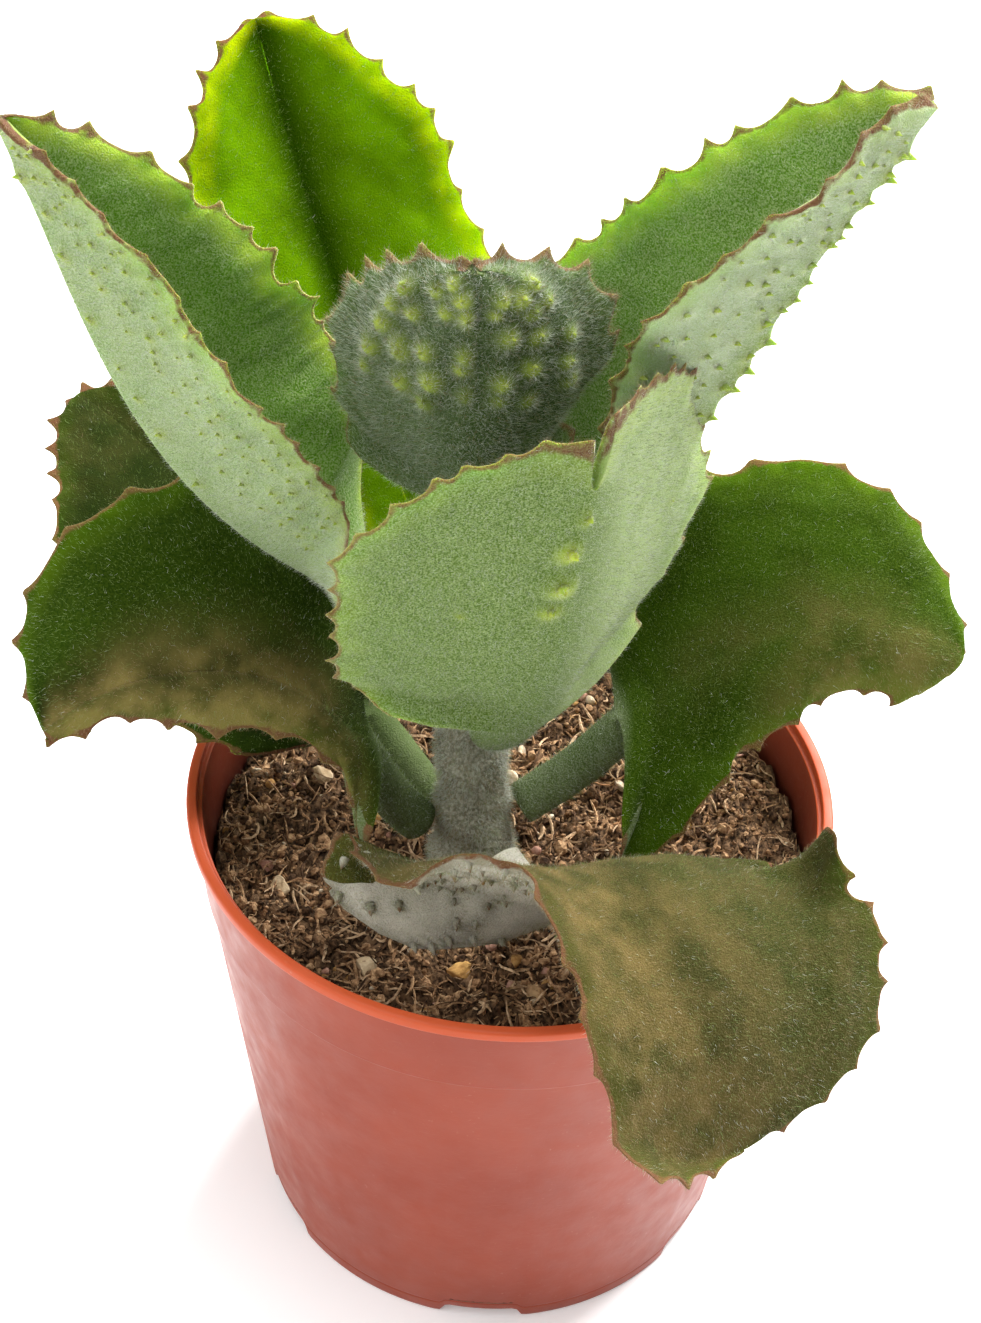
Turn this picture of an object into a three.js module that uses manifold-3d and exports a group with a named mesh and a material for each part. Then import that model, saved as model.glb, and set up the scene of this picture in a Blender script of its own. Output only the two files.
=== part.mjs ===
// A felt-leaved kalanchoe in a round plastic nursery pot.
// Millimetres, +Z up. The origin is the middle of the pot's foot, on the ground.
// The pot, the soil, the stem, each leaf, the shoot tip and each stone chip are separate pieces.

import * as THREE from 'three';
import Module from 'manifold-3d';
import { mergeVertices } from 'three/addons/utils/BufferGeometryUtils.js';

const wasm = await Module();
wasm.setup();

// Pot ---------------------------------------------------------------------------------
const POT_HEIGHT = 101;
const RIM_RADIUS = 60; // outside of the lip
const FOOT_RADIUS = 47;
const WALL = 1.5;
const LIP_HEIGHT = 2.6;
const LIP_OVERHANG = 1.2; // how far the lip stands out from the collar
const LIP_STEP = 1.6; // height of the small step inside the lip
const COLLAR_HEIGHT = 18; // from the rim down to the collar's lower edge
const COLLAR_STEP = 0.5; // how far the collar stands out from the body
const COLLAR_FLARE = 1.4; // growth of the collar's radius over its height
const FOOT_HEIGHT = 3; // gap under the floor, inside the foot ring
const FLOOR = 2;
const FOOT_RING_WIDTH = 3;
const PAD_RADIUS = 18; // flat middle of the base, level with the foot
const NOTCH_COUNT = 6;
const NOTCH_WIDTH = 17;
const NOTCH_HEIGHT = 2.5;
const DRAIN_COUNT = 6;
const DRAIN_RADIUS = 4.5;
const DRAIN_CIRCLE = 31; // radius of the ring of drain holes
const POT_SIDES = 48;

// Soil and stones -----------------------------------------------------------------------
const HEADSPACE = 15; // soil surface below the rim
const SOIL_UNEVEN = 1.1; // height of the gentle humps on the soil
const FIT = 0.3; // clearance between pieces that touch
const STONE_SINK = 0.35; // share of a stone's height that is pressed into the soil
const STONE_BREADTH = 0.72; // a stone's breadth and height as shares of its length
const STONE_THICKNESS = 0.6;
const STONE_RING = 60; // rim radius for which the stones' distances are given

// Stem ----------------------------------------------------------------------------------
const STEM_BASE_RADIUS = 6.5;
const STEM_TOP_RADIUS = 4.6;
const STEM_HEIGHT = 78; // from the rim's level up to the shoot tip
const ROOT_DEPTH = 24; // buried end of the stem, below the soil surface
const ROOT_FLARE = 1.5; // the stem is thicker by this much where it enters the soil
const ROOT_TAPER = 0.45; // radius of the buried end, as a share of the stem's
const BUD_RADIUS = 0.62; // radius of the closed bud, as a share of the stem's at its top
const STEM_FOOT = new THREE.Vector2(-7, -4.5); // where the axis meets the rim's level
const STEM_LEAN = new THREE.Vector2(-4, 6.5); // sideways shift of the axis over STEM_HEIGHT

// Leaves --------------------------------------------------------------------------------
const LEAF_HALF_THICKNESS = 1.1;
const MIDRIB_HALF_THICKNESS = 2.4; // below the leaf, at the base of the blade
const TOOTH_DEPTH = 1.6;
const PETIOLE_RADIUS = 4;
const YOUNG_PETIOLE_RADIUS = 3;
const PETIOLE_GAP = 0.5; // between the stem and the end of each petiole
const BLADE_OPENING = 0.08; // share of the blade over which it opens to its full width
const FOLD_START = 0.12; // share of the blade over which its cross-section takes its fold
const RIB_SPREAD = 0.3; // half width of the midrib's swelling, as a share of the blade's
const TOOTH_SPACING = 9;
const LAST_RING = 0.985; // share of the blade where the tip's end face lies
const MARGIN_SWEEP = 1.6; // how sharply lobe and crown set in towards the margin

// Each leaf, from the lowest pair to the youngest. `node` is the height of its petiole on the
// stem above the rim's level; `pitch` and `heading` are the slope and the compass direction of
// the midrib in degrees, in even steps from the stem to the tip (heading 0 is +X, 90 is +Y).
// The half widths run from the base of the blade to its tip. `left` and `right` give the slope of
// the blade's cross-section from the midrib out to the margin; where there are several rows they
// run from the base to the tip. `lobe` is how far the margins, left and right, reach back at the
// base of the blade, and `crown` how far they reach ahead at its tip.
// The lowest front leaf bends down past the rim, so its petiole and the lobe that lies in the
// watering space grow with the pot.
const LEAVES = [
  {
    name: 'leaf_front_right_drooping', node: -7, petiole: RIM_RADIUS - 44, blade: 86,
    pitch: [-18, 40, 65, 10, -25, -50, -72], heading: [-54, -54, -57, -62], roll: [4, 0, 0],
    leftWidth: [18, 30, 36, 39, 37], rightWidth: [RIM_RADIUS - 8, 34, 24, 27, 30],
    left: [[-15, -25, -30], [-14, -22, -22], [-6, -4, 5]],
    right: [[25, 60, 75], [10, 30, 50], [5, 15, 30], [0, 20, 40]], lobe: [0, 8],
  },
  {
    name: 'leaf_back_left', node: -7, petiole: 20, blade: 86,
    pitch: [28, 32, 28, 10], heading: [138, 142, 146],
    leftWidth: [24, 37, 39, 28, 16], rightWidth: [24, 22, 16, 12, 10],
    left: [[10, 5, 0]], right: [[10, 20, 20]],
  },
  {
    name: 'leaf_right', node: -2, petiole: 26, blade: 68,
    pitch: [32, 48, 36, 2, -40], heading: [15, 12, 4, 0],
    leftWidth: [26, 31, 31, 26, 12], rightWidth: [20, 24, 17, 14, 12],
    left: [[15, 35, 20], [30, 45, 25], [20, 35, 20]],
    right: [[0, -35, -30], [-25, -60, -60], [-30, -70, -95]], lobe: [0, 36],
  },
  {
    name: 'leaf_left', node: -2, petiole: 22, blade: 67,
    pitch: [52, 66, 36, -4, -45], heading: [200, 198, 194],
    leftWidth: [16, 12, 9, 7, 5], rightWidth: [16, 29, 35, 32, 23],
    left: [[20, -20, -60, -80, -60]], right: [[30, 40, 30]], lobe: [24, 0],
  },
  {
    name: 'leaf_front', node: 24, petiole: 18, blade: 60,
    pitch: [38, 68, 78, 78], heading: [-64, -58, -52],
    leftWidth: [20, 35, 38, 38, 33], rightWidth: [20, 33, 36, 36, 30],
    left: [[10, 25, 25]], right: [[15, 25, 20]], crown: [13, 10],
  },
  {
    name: 'leaf_back', node: 32, petiole: 15, blade: 98,
    pitch: [30, 58, 66, 64], heading: [115, 133, 141, 130],
    leftWidth: [12, 17, 28, 29, 18], rightWidth: [20, 28, 31, 27, 18],
    left: [[15, 15, 5]], right: [[15, 15, 5]],
  },
  {
    name: 'leaf_upper_left', node: 47, petiole: 12, blade: 105,
    pitch: [0, 35, 60, 72, 70], heading: [180, 180, 176],
    leftWidth: [18, 30, 30, 22, 10], rightWidth: [20, 32, 32, 25, 12],
    left: [[40, 55, 60], [50, 60, 60], [55, 60, 50]],
    right: [[40, 55, 60], [50, 60, 60], [55, 60, 50]],
  },
  {
    name: 'leaf_upper_right', node: 51, petiole: 12, blade: 96,
    pitch: [38, 60, 62, 56], heading: [0, 3, 10],
    leftWidth: [35, 37, 31, 22, 12], rightWidth: [12, 18, 25, 21, 10],
    left: [[40, 50, 50]], right: [[40, 55, 60]],
  },
  {
    name: 'leaf_young_front', node: 69, petiole: 6, blade: 46,
    pitch: [60, 80, 86, 88], heading: [-88],
    leftWidth: [18, 24, 27, 24, 16], rightWidth: [18, 24, 27, 24, 16],
    left: [[10, 35, 60]], right: [[10, 35, 60]], petioleRadius: YOUNG_PETIOLE_RADIUS,
  },
  {
    name: 'leaf_young_back', node: 71, petiole: 5, blade: 27,
    pitch: [60, 80, 85, 85], heading: [95],
    leftWidth: [10, 15, 17, 15, 9], rightWidth: [10, 15, 17, 15, 9],
    left: [[10, 40, 60]], right: [[10, 40, 60]], petioleRadius: YOUNG_PETIOLE_RADIUS,
  },
];

// Stone chips lying on the soil: angle and distance from the pot's axis, half length, and turn.
const STONES = [
  { angle: 12, reach: 33, size: 6.0, turn: 20 },
  { angle: 141, reach: 37, size: 4.2, turn: 70 },
  { angle: 158, reach: 40, size: 3.4, turn: 10 },
  { angle: 170, reach: 27, size: 4.6, turn: 120 },
  { angle: 60, reach: 24, size: 3.4, turn: 45 },
  { angle: 330, reach: 24, size: 3.2, turn: 95 },
  { angle: 258, reach: 34, size: 3.6, turn: 15 },
  { angle: 280, reach: 38, size: 3.0, turn: 140 },
  { angle: 235, reach: 42, size: 2.8, turn: 60 },
  { angle: 25, reach: 45, size: 2.8, turn: 80 },
  { angle: 95, reach: 40, size: 3.0, turn: 30 },
  { angle: 200, reach: 44, size: 3.2, turn: 100 },
];

// Colours -------------------------------------------------------------------------------
const TERRACOTTA = new THREE.MeshStandardMaterial({ color: 0xb5604c, roughness: 0.5, metalness: 0 });
const SOIL_BROWN = new THREE.MeshStandardMaterial({ color: 0x3b2a1e, roughness: 1, metalness: 0 });
const FELT_GREEN = new THREE.MeshStandardMaterial({ color: 0x54702f, roughness: 0.95, metalness: 0 });
const FELT_OLIVE = new THREE.MeshStandardMaterial({ color: 0x6b6638, roughness: 0.95, metalness: 0 });
const STEM_GREY = new THREE.MeshStandardMaterial({ color: 0x8f9480, roughness: 0.95, metalness: 0 });
const STONE_TAN = new THREE.MeshStandardMaterial({ color: 0xb08a5a, roughness: 0.9, metalness: 0 });

const radians = THREE.MathUtils.degToRad;
const clamp = THREE.MathUtils.clamp;
const soilLevel = POT_HEIGHT - HEADSPACE;
const floorTop = FOOT_HEIGHT + FLOOR;

// Solids ----------------------------------------------------------------------------------

/** Turns a closed three.js geometry into a manifold solid. */
function solidOf(geometry) {
  const bare = geometry.clone();
  bare.deleteAttribute('normal');
  bare.deleteAttribute('uv');
  const welded = mergeVertices(bare, 1e-4);
  return new wasm.Manifold(new wasm.Mesh({
    numProp: 3,
    vertProperties: Float32Array.from(welded.attributes.position.array),
    triVerts: Uint32Array.from(welded.index.array),
  }));
}

/** Turns a manifold solid back into a three.js geometry. */
function geometryOf(solid) {
  const { vertProperties, triVerts } = solid.getMesh();
  const geometry = new THREE.BufferGeometry();
  geometry.setAttribute('position', new THREE.BufferAttribute(vertProperties, 3));
  geometry.setIndex(new THREE.BufferAttribute(triVerts, 1));
  geometry.computeVertexNormals();
  return geometry;
}

/** A profile of [radius, height] points turned round the Z axis; it starts and ends on the axis or closes. */
function turned(profile, sides) {
  const points = profile.map(([radius, height]) => new THREE.Vector2(radius, height));
  return new THREE.LatheGeometry(points, sides).rotateX(Math.PI / 2);
}

/** A closed skin over rings of points. Each ring has as many points; the ends are closed by fans. */
function skin(rings) {
  const count = rings[0].length;
  const corners = rings.flat();
  const faces = [];
  for (let r = 0; r + 1 < rings.length; r += 1) {
    for (let k = 0; k < count; k += 1) {
      const a = r * count + k;
      const b = r * count + ((k + 1) % count);
      faces.push(a, b, a + count, b, b + count, a + count);
    }
  }
  const last = (rings.length - 1) * count;
  for (let k = 1; k + 1 < count; k += 1) {
    faces.push(0, k + 1, k);
    faces.push(last, last + k, last + k + 1);
  }
  const geometry = new THREE.BufferGeometry().setFromPoints(corners);
  geometry.setIndex(faces);
  geometry.computeVertexNormals();
  return geometry;
}

/** The value at `share` (0 to 1) on a smooth curve through evenly spaced values. */
function along(values, share) {
  if (values.length === 1) return values[0];
  const place = clamp(share, 0, 1) * (values.length - 1);
  const i = Math.min(Math.floor(place), values.length - 2);
  const t = place - i;
  const b = values[i];
  const c = values[i + 1];
  const a = i > 0 ? values[i - 1] : 2 * b - c;
  const d = i + 2 < values.length ? values[i + 2] : 2 * c - b;
  const bend = (2 * a - 5 * b + 4 * c - d) * t * t + (-a + 3 * b - 3 * c + d) * t * t * t;
  return 0.5 * (2 * b + (c - a) * t + bend);
}

// Pot -------------------------------------------------------------------------------------

/** Radius of the body's outside at a height. */
function bodyRadius(height) {
  const top = RIM_RADIUS - LIP_OVERHANG - COLLAR_FLARE - COLLAR_STEP;
  return FOOT_RADIUS + (top - FOOT_RADIUS) * (height / (POT_HEIGHT - COLLAR_HEIGHT));
}

/** Radius of the pot's inner wall at a height. */
function innerRadius(height) {
  const collarFoot = POT_HEIGHT - COLLAR_HEIGHT;
  if (height <= collarFoot) return bodyRadius(height) - WALL;
  const share = (height - collarFoot) / COLLAR_HEIGHT;
  return bodyRadius(collarFoot) - WALL + (COLLAR_STEP + COLLAR_FLARE) * share;
}

function makePot() {
  const collarFoot = POT_HEIGHT - COLLAR_HEIGHT;
  const lipFoot = POT_HEIGHT - LIP_HEIGHT;
  const stepFoot = POT_HEIGHT - LIP_STEP;
  const collarRadius = bodyRadius(collarFoot) + COLLAR_STEP;
  const lipInside = innerRadius(POT_HEIGHT) + WALL / 2;
  const shell = solidOf(turned([
    [0, 0],
    [PAD_RADIUS, 0],
    [PAD_RADIUS + FOOT_HEIGHT, FOOT_HEIGHT],
    [FOOT_RADIUS - FOOT_RING_WIDTH, FOOT_HEIGHT],
    [FOOT_RADIUS - FOOT_RING_WIDTH, 0],
    [FOOT_RADIUS, 0],
    [bodyRadius(collarFoot), collarFoot],
    [collarRadius, collarFoot + COLLAR_STEP],
    [collarRadius + COLLAR_FLARE, lipFoot],
    [RIM_RADIUS, lipFoot + LIP_OVERHANG / 2],
    [RIM_RADIUS, POT_HEIGHT],
    [lipInside, POT_HEIGHT],
    [lipInside, stepFoot],
    [innerRadius(stepFoot), stepFoot],
    [innerRadius(collarFoot), collarFoot],
    [innerRadius(floorTop), floorTop],
    [0, floorTop],
  ], POT_SIDES));
  let pot = shell;
  for (let k = 0; k < NOTCH_COUNT; k += 1) {
    pot = pot.subtract(solidOf(makeNotch().rotateZ((2 * Math.PI * (k + 0.5)) / NOTCH_COUNT)));
  }
  for (let k = 0; k < DRAIN_COUNT; k += 1) {
    const drain = new THREE.CylinderGeometry(DRAIN_RADIUS, DRAIN_RADIUS, 3 * floorTop, 12);
    drain.rotateX(Math.PI / 2).translate(DRAIN_CIRCLE, 0, floorTop);
    pot = pot.subtract(solidOf(drain.rotateZ((2 * Math.PI * k) / DRAIN_COUNT)));
  }
  return geometryOf(pot);
}

/** A round-cornered bar that cuts one notch out of the foot ring, pointing along +X. */
function makeNotch() {
  const half = NOTCH_WIDTH / 2;
  const corner = NOTCH_HEIGHT * 0.8;
  const outline = new THREE.Shape();
  outline.moveTo(-half, -1);
  outline.lineTo(half, -1);
  outline.lineTo(half, NOTCH_HEIGHT - corner);
  outline.quadraticCurveTo(half, NOTCH_HEIGHT, half - corner, NOTCH_HEIGHT);
  outline.lineTo(corner - half, NOTCH_HEIGHT);
  outline.quadraticCurveTo(-half, NOTCH_HEIGHT, -half, NOTCH_HEIGHT - corner);
  outline.closePath();
  const depth = 3 * FOOT_RING_WIDTH;
  const bar = new THREE.ExtrudeGeometry(outline, { depth, bevelEnabled: false, curveSegments: 3 });
  bar.rotateX(Math.PI / 2).rotateZ(Math.PI / 2);
  return bar.translate(FOOT_RADIUS - 2 * FOOT_RING_WIDTH, 0, 0);
}

// Stem ------------------------------------------------------------------------------------

/** Middle of the stem at a height above the rim's level. */
function stemMiddle(node) {
  const share = node / STEM_HEIGHT;
  return new THREE.Vector3(
    STEM_FOOT.x + STEM_LEAN.x * share,
    STEM_FOOT.y + STEM_LEAN.y * share,
    POT_HEIGHT + node,
  );
}

/** Radius of the stem at a height above the rim's level, with the flare at the soil. */
function stemRadius(node) {
  const share = clamp(node / STEM_HEIGHT, 0, 1);
  const aboveSoil = (node + HEADSPACE) / HEADSPACE;
  const flare = ROOT_FLARE * Math.exp(-aboveSoil * aboveSoil * 4);
  return STEM_BASE_RADIUS + (STEM_TOP_RADIUS - STEM_BASE_RADIUS) * share + flare;
}

/** The stem from its buried end to the shoot tip, grown by `extra` all round. */
function makeStem(extra) {
  const sides = 14;
  const steps = 14;
  const bottom = -HEADSPACE - ROOT_DEPTH - extra;
  const rings = [];
  for (let i = 0; i <= steps; i += 1) {
    const node = bottom + ((STEM_HEIGHT + extra - bottom) * i) / steps;
    const buried = clamp((node - bottom) / ROOT_DEPTH, 0, 1);
    const radius = stemRadius(node) * (ROOT_TAPER + (1 - ROOT_TAPER) * buried) + extra;
    const middle = stemMiddle(node);
    rings.push(Array.from({ length: sides }, (_, k) => {
      const angle = (2 * Math.PI * k) / sides;
      return new THREE.Vector3(radius * Math.cos(angle), radius * Math.sin(angle), 0).add(middle);
    }));
  }
  return skin(rings);
}

/** The closed bud in the middle of the youngest pair of leaves, standing on the stem's end. */
function makeShootTip() {
  const radius = STEM_TOP_RADIUS * BUD_RADIUS;
  const bud = turned([
    [0, 0],
    [radius * 0.8, 0],
    [radius, radius],
    [radius * 0.75, radius * 2.2],
    [radius * 0.3, radius * 3.1],
    [0, radius * 3.4],
  ], 12);
  const seat = stemMiddle(STEM_HEIGHT);
  return bud.translate(seat.x, seat.y, seat.z + FIT);
}

// Leaves ----------------------------------------------------------------------------------

/** Direction of the midrib from its slope and compass direction, in degrees. */
function direction(pitch, heading) {
  const level = Math.cos(radians(pitch));
  return new THREE.Vector3(
    level * Math.cos(radians(heading)),
    level * Math.sin(radians(heading)),
    Math.sin(radians(pitch)),
  );
}

/** Points of the midrib in fine steps from the stem to the leaf's tip. */
function midribOf(leaf) {
  const length = leaf.petiole + leaf.blade;
  const steps = 120;
  const radius = leaf.petioleRadius ?? PETIOLE_RADIUS;
  const lean = radius * Math.sin(radians(Math.abs(leaf.pitch[0])));
  const away = stemRadius(leaf.node - radius) + PETIOLE_GAP + lean;
  const out = direction(0, leaf.heading[0]).multiplyScalar(away);
  const points = [stemMiddle(leaf.node).add(out)];
  for (let i = 0; i < steps; i += 1) {
    const share = (i + 0.5) / steps;
    const step = direction(along(leaf.pitch, share), along(leaf.heading, share));
    points.push(points[i].clone().addScaledVector(step, length / steps));
  }
  return points;
}

/** Half width of one side of the blade at a share of its length. */
function halfWidth(widths, share, petioleRadius) {
  const open = Math.sqrt(clamp(share / BLADE_OPENING, 0, 1)) * Math.sqrt(1 - clamp(share, 0, 1) ** 8);
  const stalk = share > 0 ? petioleRadius * Math.sqrt(1 - clamp(share, 0, 1)) : petioleRadius;
  return share > 0 ? Math.hypot(stalk, along(widths, share) * open) : stalk;
}

/** Slope of the cross-section at a place on the leaf, in radians. */
function crossSlope(rows, share, across) {
  const row = rows[0].map((_, column) => along(rows.map((values) => values[column]), share));
  return radians(along(row, across)) * clamp(share / FOLD_START, 0, 1);
}

// Places across one side where a ring has points, as shares from the midrib to the margin.
const ACROSS = [0, 0.45, 0.88, 1];

/** Outer points of one side of a cross-section: for each place across, [out, up, slope]. */
function sideProfile(rows, share, width) {
  const steps = 20;
  const profile = [];
  let out = 0;
  let up = 0;
  let next = 0;
  for (let i = 0; i <= steps; i += 1) {
    const across = i / steps;
    while (next < ACROSS.length && across >= ACROSS[next] - 1e-9) {
      profile.push([out, up, crossSlope(rows, share, ACROSS[next])]);
      next += 1;
    }
    const slope = crossSlope(rows, share, across + 0.5 / steps);
    out += (width / steps) * Math.cos(slope);
    up += (width / steps) * Math.sin(slope);
  }
  return profile;
}

/** Half thickness above and below the middle of the leaf at a place across it. */
function halfThickness(share, across, petioleRadius) {
  const stalk = petioleRadius * Math.sqrt(1 - across * across);
  const edge = Math.sqrt(1 - across ** 10);
  const above = LEAF_HALF_THICKNESS * edge;
  const rib = MIDRIB_HALF_THICKNESS * Math.exp(-((across / RIB_SPREAD) ** 2)) * (1 - clamp(share, 0, 1));
  const blend = clamp(share / 0.1, 0, 1);
  return [stalk + (above - stalk) * blend, stalk + (above + rib - stalk) * blend];
}

function makeLeaf(leaf) {
  const radius = leaf.petioleRadius ?? PETIOLE_RADIUS;
  const length = leaf.petiole + leaf.blade;
  const midrib = midribOf(leaf);
  const teeth = Math.round(leaf.blade / TOOTH_SPACING) * 2;
  const shares = [0, 0.5].map((part) => -(1 - part) * (leaf.petiole / leaf.blade));
  shares.push(0, BLADE_OPENING * 0.4, BLADE_OPENING);
  for (let i = 1; i <= teeth; i += 1) {
    shares.push(BLADE_OPENING + (LAST_RING - BLADE_OPENING) * (i / teeth));
  }
  const rings = shares.map((share, ring) => {
    const place = clamp((leaf.petiole + share * leaf.blade) / length, 0, 1);
    const index = Math.min(Math.floor(place * (midrib.length - 1)), midrib.length - 2);
    const rest = place * (midrib.length - 1) - index;
    const middle = midrib[index].clone().lerp(midrib[index + 1], rest);
    const heading = along(leaf.heading, place);
    const forward = direction(along(leaf.pitch, place), heading);
    const level = direction(0, heading - 90);
    const roll = radians(along(leaf.roll ?? [0], share));
    const right = level.clone().applyAxisAngle(forward, roll);
    const top = right.clone().cross(forward);
    const [leftLobe, rightLobe] = leaf.lobe ?? [0, 0];
    const [leftCrown, rightCrown] = leaf.crown ?? [0, 0];
    const sides = [
      { sign: 1, rows: leaf.right, widths: leaf.rightWidth, lobe: rightLobe, crown: rightCrown },
      { sign: -1, rows: leaf.left, widths: leaf.leftWidth, lobe: leftLobe, crown: leftCrown },
    ].map(({ sign, rows, widths, lobe, crown }) => {
      const inside = clamp(share, 0, 1);
      const notch = share > BLADE_OPENING && ring % 2 === 0 ? TOOTH_DEPTH : 0;
      const width = halfWidth(widths, share, radius) - notch * (1 - inside ** 4);
      const back = lobe * (1 - inside) ** 2 * clamp(share / FOLD_START, 0, 1);
      const ahead = crown * inside ** 3;
      return sideProfile(rows, share, width).map(([out, up, slope], k) => {
        const [above, below] = halfThickness(share, ACROSS[k], radius);
        const point = middle.clone().addScaledVector(right, sign * out).addScaledVector(top, up);
        point.addScaledVector(forward, (ahead - back) * ACROSS[k] ** MARGIN_SWEEP);
        const normal = top.clone().multiplyScalar(Math.cos(slope));
        normal.addScaledVector(right, -sign * Math.sin(slope));
        return {
          upper: point.clone().addScaledVector(normal, above),
          lower: point.clone().addScaledVector(normal, -below),
        };
      });
    });
    const [rightSide, leftSide] = sides;
    return [
      ...rightSide.map((p) => p.upper),
      ...rightSide.slice(0, -1).reverse().map((p) => p.lower),
      ...leftSide.slice(1).map((p) => p.lower),
      ...leftSide.slice(1, -1).reverse().map((p) => p.upper),
    ];
  });
  return skin(rings);
}

// Soil and stones ---------------------------------------------------------------------------

/** Height of the soil's surface. */
function soilHeight(x, y) {
  const humps = Math.sin(x / 7 + 1) * Math.cos(y / 9) + 0.5 * Math.sin(x / 4 - y / 5);
  return soilLevel + (SOIL_UNEVEN * humps) / 1.5;
}

/** Where a stone lies, as a matrix; `grow` is the clearance added all round. */
function stonePlace(stone, grow) {
  const angle = radians(stone.angle);
  const reach = (stone.reach / STONE_RING) * RIM_RADIUS;
  const x = reach * Math.cos(angle);
  const y = reach * Math.sin(angle);
  const size = new THREE.Vector3(1, STONE_BREADTH, STONE_THICKNESS).multiplyScalar(stone.size);
  const z = soilHeight(x, y) + size.z * (1 - 2 * STONE_SINK);
  const turn = new THREE.Quaternion().setFromEuler(new THREE.Euler(0.2, 0.15, radians(stone.turn)));
  return new THREE.Matrix4().compose(new THREE.Vector3(x, y, z), turn, size.addScalar(grow));
}

/** A rough chip: a twenty-sided lump whose corners are pushed in and out by a fixed pattern. */
function makeStone(stone, index, grow) {
  const lump = mergeVertices(bareLump());
  const corners = lump.attributes.position;
  for (let i = 0; i < corners.count; i += 1) {
    const push = 0.88 + 0.12 * Math.sin(2.4 * i + 1.7 * index);
    corners.setXYZ(i, corners.getX(i) * push, corners.getY(i) * push, corners.getZ(i) * push);
  }
  return lump.applyMatrix4(stonePlace(stone, grow));
}

function bareLump() {
  const lump = new THREE.IcosahedronGeometry(1, 0);
  lump.deleteAttribute('normal');
  lump.deleteAttribute('uv');
  return lump;
}

/** The soil fills the pot up to its uneven surface, round the stem's buried end and the stones. */
function makeSoil() {
  const circles = 5;
  const bottom = floorTop + FIT;
  const rings = [[bottom, innerRadius(bottom) - FIT]];
  const collarFoot = POT_HEIGHT - COLLAR_HEIGHT;
  if (collarFoot < soilLevel - 2) rings.push([collarFoot, innerRadius(collarFoot) - FIT]);
  const side = rings.map(([height, radius]) => circleOf(radius, POT_SIDES, () => height));
  const edge = innerRadius(soilLevel - 1.5 * SOIL_UNEVEN) - FIT;
  const surface = [];
  for (let c = circles; c > 0; c -= 1) {
    surface.push(circleOf((edge * c) / circles, POT_SIDES, soilHeight));
  }
  surface.push(circleOf(0.5, POT_SIDES, soilHeight));
  let soil = solidOf(skin([...side, ...surface]));
  soil = soil.subtract(solidOf(makeStem(FIT)));
  STONES.forEach((stone, index) => {
    soil = soil.subtract(solidOf(makeStone(stone, index, 2 * FIT)));
  });
  return geometryOf(soil);
}

function circleOf(radius, count, height) {
  return Array.from({ length: count }, (_, k) => {
    const angle = (2 * Math.PI * k) / count;
    const x = radius * Math.cos(angle);
    const y = radius * Math.sin(angle);
    return new THREE.Vector3(x, y, height(x, y));
  });
}

// The assembly --------------------------------------------------------------------------------
const plant = new THREE.Group();

function add(name, geometry, material) {
  const mesh = new THREE.Mesh(geometry, material);
  mesh.name = name;
  plant.add(mesh);
}

add('pot', makePot(), TERRACOTTA);
add('soil', makeSoil(), SOIL_BROWN);
STONES.forEach((stone, index) => {
  add(`stone_chip_${String(index + 1).padStart(2, '0')}`, makeStone(stone, index, 0), STONE_TAN);
});
add('stem', makeStem(0), STEM_GREY);
LEAVES.forEach((leaf) => {
  add(leaf.name, makeLeaf(leaf), leaf.node < 0 ? FELT_OLIVE : FELT_GREEN);
});
add('shoot_tip', makeShootTip(), FELT_GREEN);

export default plant;
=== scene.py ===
"""Looks of a potted felt kalanchoe: a plastic nursery pot, coarse peat soil with stone chips,
a hairy stem and ten thick felted leaves with toothed brown margins and horny bumps below.

Lengths in the classes are millimetres; meshes are made in metres, in the frame of the CAD part.
"""

import logging
import math
from dataclasses import dataclass, field
from enum import Enum
from typing import ClassVar, Sequence

import bmesh
import bpy
import numpy as np
from mathutils import Matrix, Vector

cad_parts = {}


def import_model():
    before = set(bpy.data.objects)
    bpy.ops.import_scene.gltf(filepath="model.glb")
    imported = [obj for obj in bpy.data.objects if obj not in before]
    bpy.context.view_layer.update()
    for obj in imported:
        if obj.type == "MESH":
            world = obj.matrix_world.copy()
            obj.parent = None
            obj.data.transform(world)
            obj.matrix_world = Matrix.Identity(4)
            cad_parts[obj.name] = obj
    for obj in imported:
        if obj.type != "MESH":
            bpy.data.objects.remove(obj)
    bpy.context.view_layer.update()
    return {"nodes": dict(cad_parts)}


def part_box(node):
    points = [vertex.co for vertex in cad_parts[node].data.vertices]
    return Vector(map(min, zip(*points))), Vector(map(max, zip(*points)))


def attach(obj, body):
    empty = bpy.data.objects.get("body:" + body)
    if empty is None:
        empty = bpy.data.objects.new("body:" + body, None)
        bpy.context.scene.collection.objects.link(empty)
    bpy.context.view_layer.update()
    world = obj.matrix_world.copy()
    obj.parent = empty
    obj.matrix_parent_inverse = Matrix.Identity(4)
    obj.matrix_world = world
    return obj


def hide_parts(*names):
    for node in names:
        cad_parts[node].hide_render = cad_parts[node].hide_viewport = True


log = logging.getLogger("kalanchoe")

MM = 0.001
BODY = "root"
HEADSPACE = 15.0
Colour = tuple[float, float, float]
Place = tuple[float, float, float]
Grids = dict[str, np.ndarray]
Sides = dict[int, Grids]


class LeafAgeAndLight(Enum):
    """How far a leaf has grown and how it is lit, which sets its colours: GROWN is the lit grown
    leaf, SHADED the same leaf darkened with painted shade, BACKLIT a leaf brightened with painted
    back light.
    """

    YOUNG = "young"
    GROWN = "grown"
    SHADED = "shaded"
    INNER = "inner"
    BACKLIT = "backlit"
    OLD = "old"


class Slot(Enum):
    """Material slots named by the part's record."""

    PLASTIC = "terracotta_plastic"
    SOIL = "potting_soil"
    STONE = "stone_chip"
    STEM = "felted_stem"
    LEAF = "felted_leaf"
    OLD_LEAF = "old_leaf"
    YOUNG_LEAF = "young_leaf"


# Shapes -------------------------------------------------------------------------------------


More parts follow.
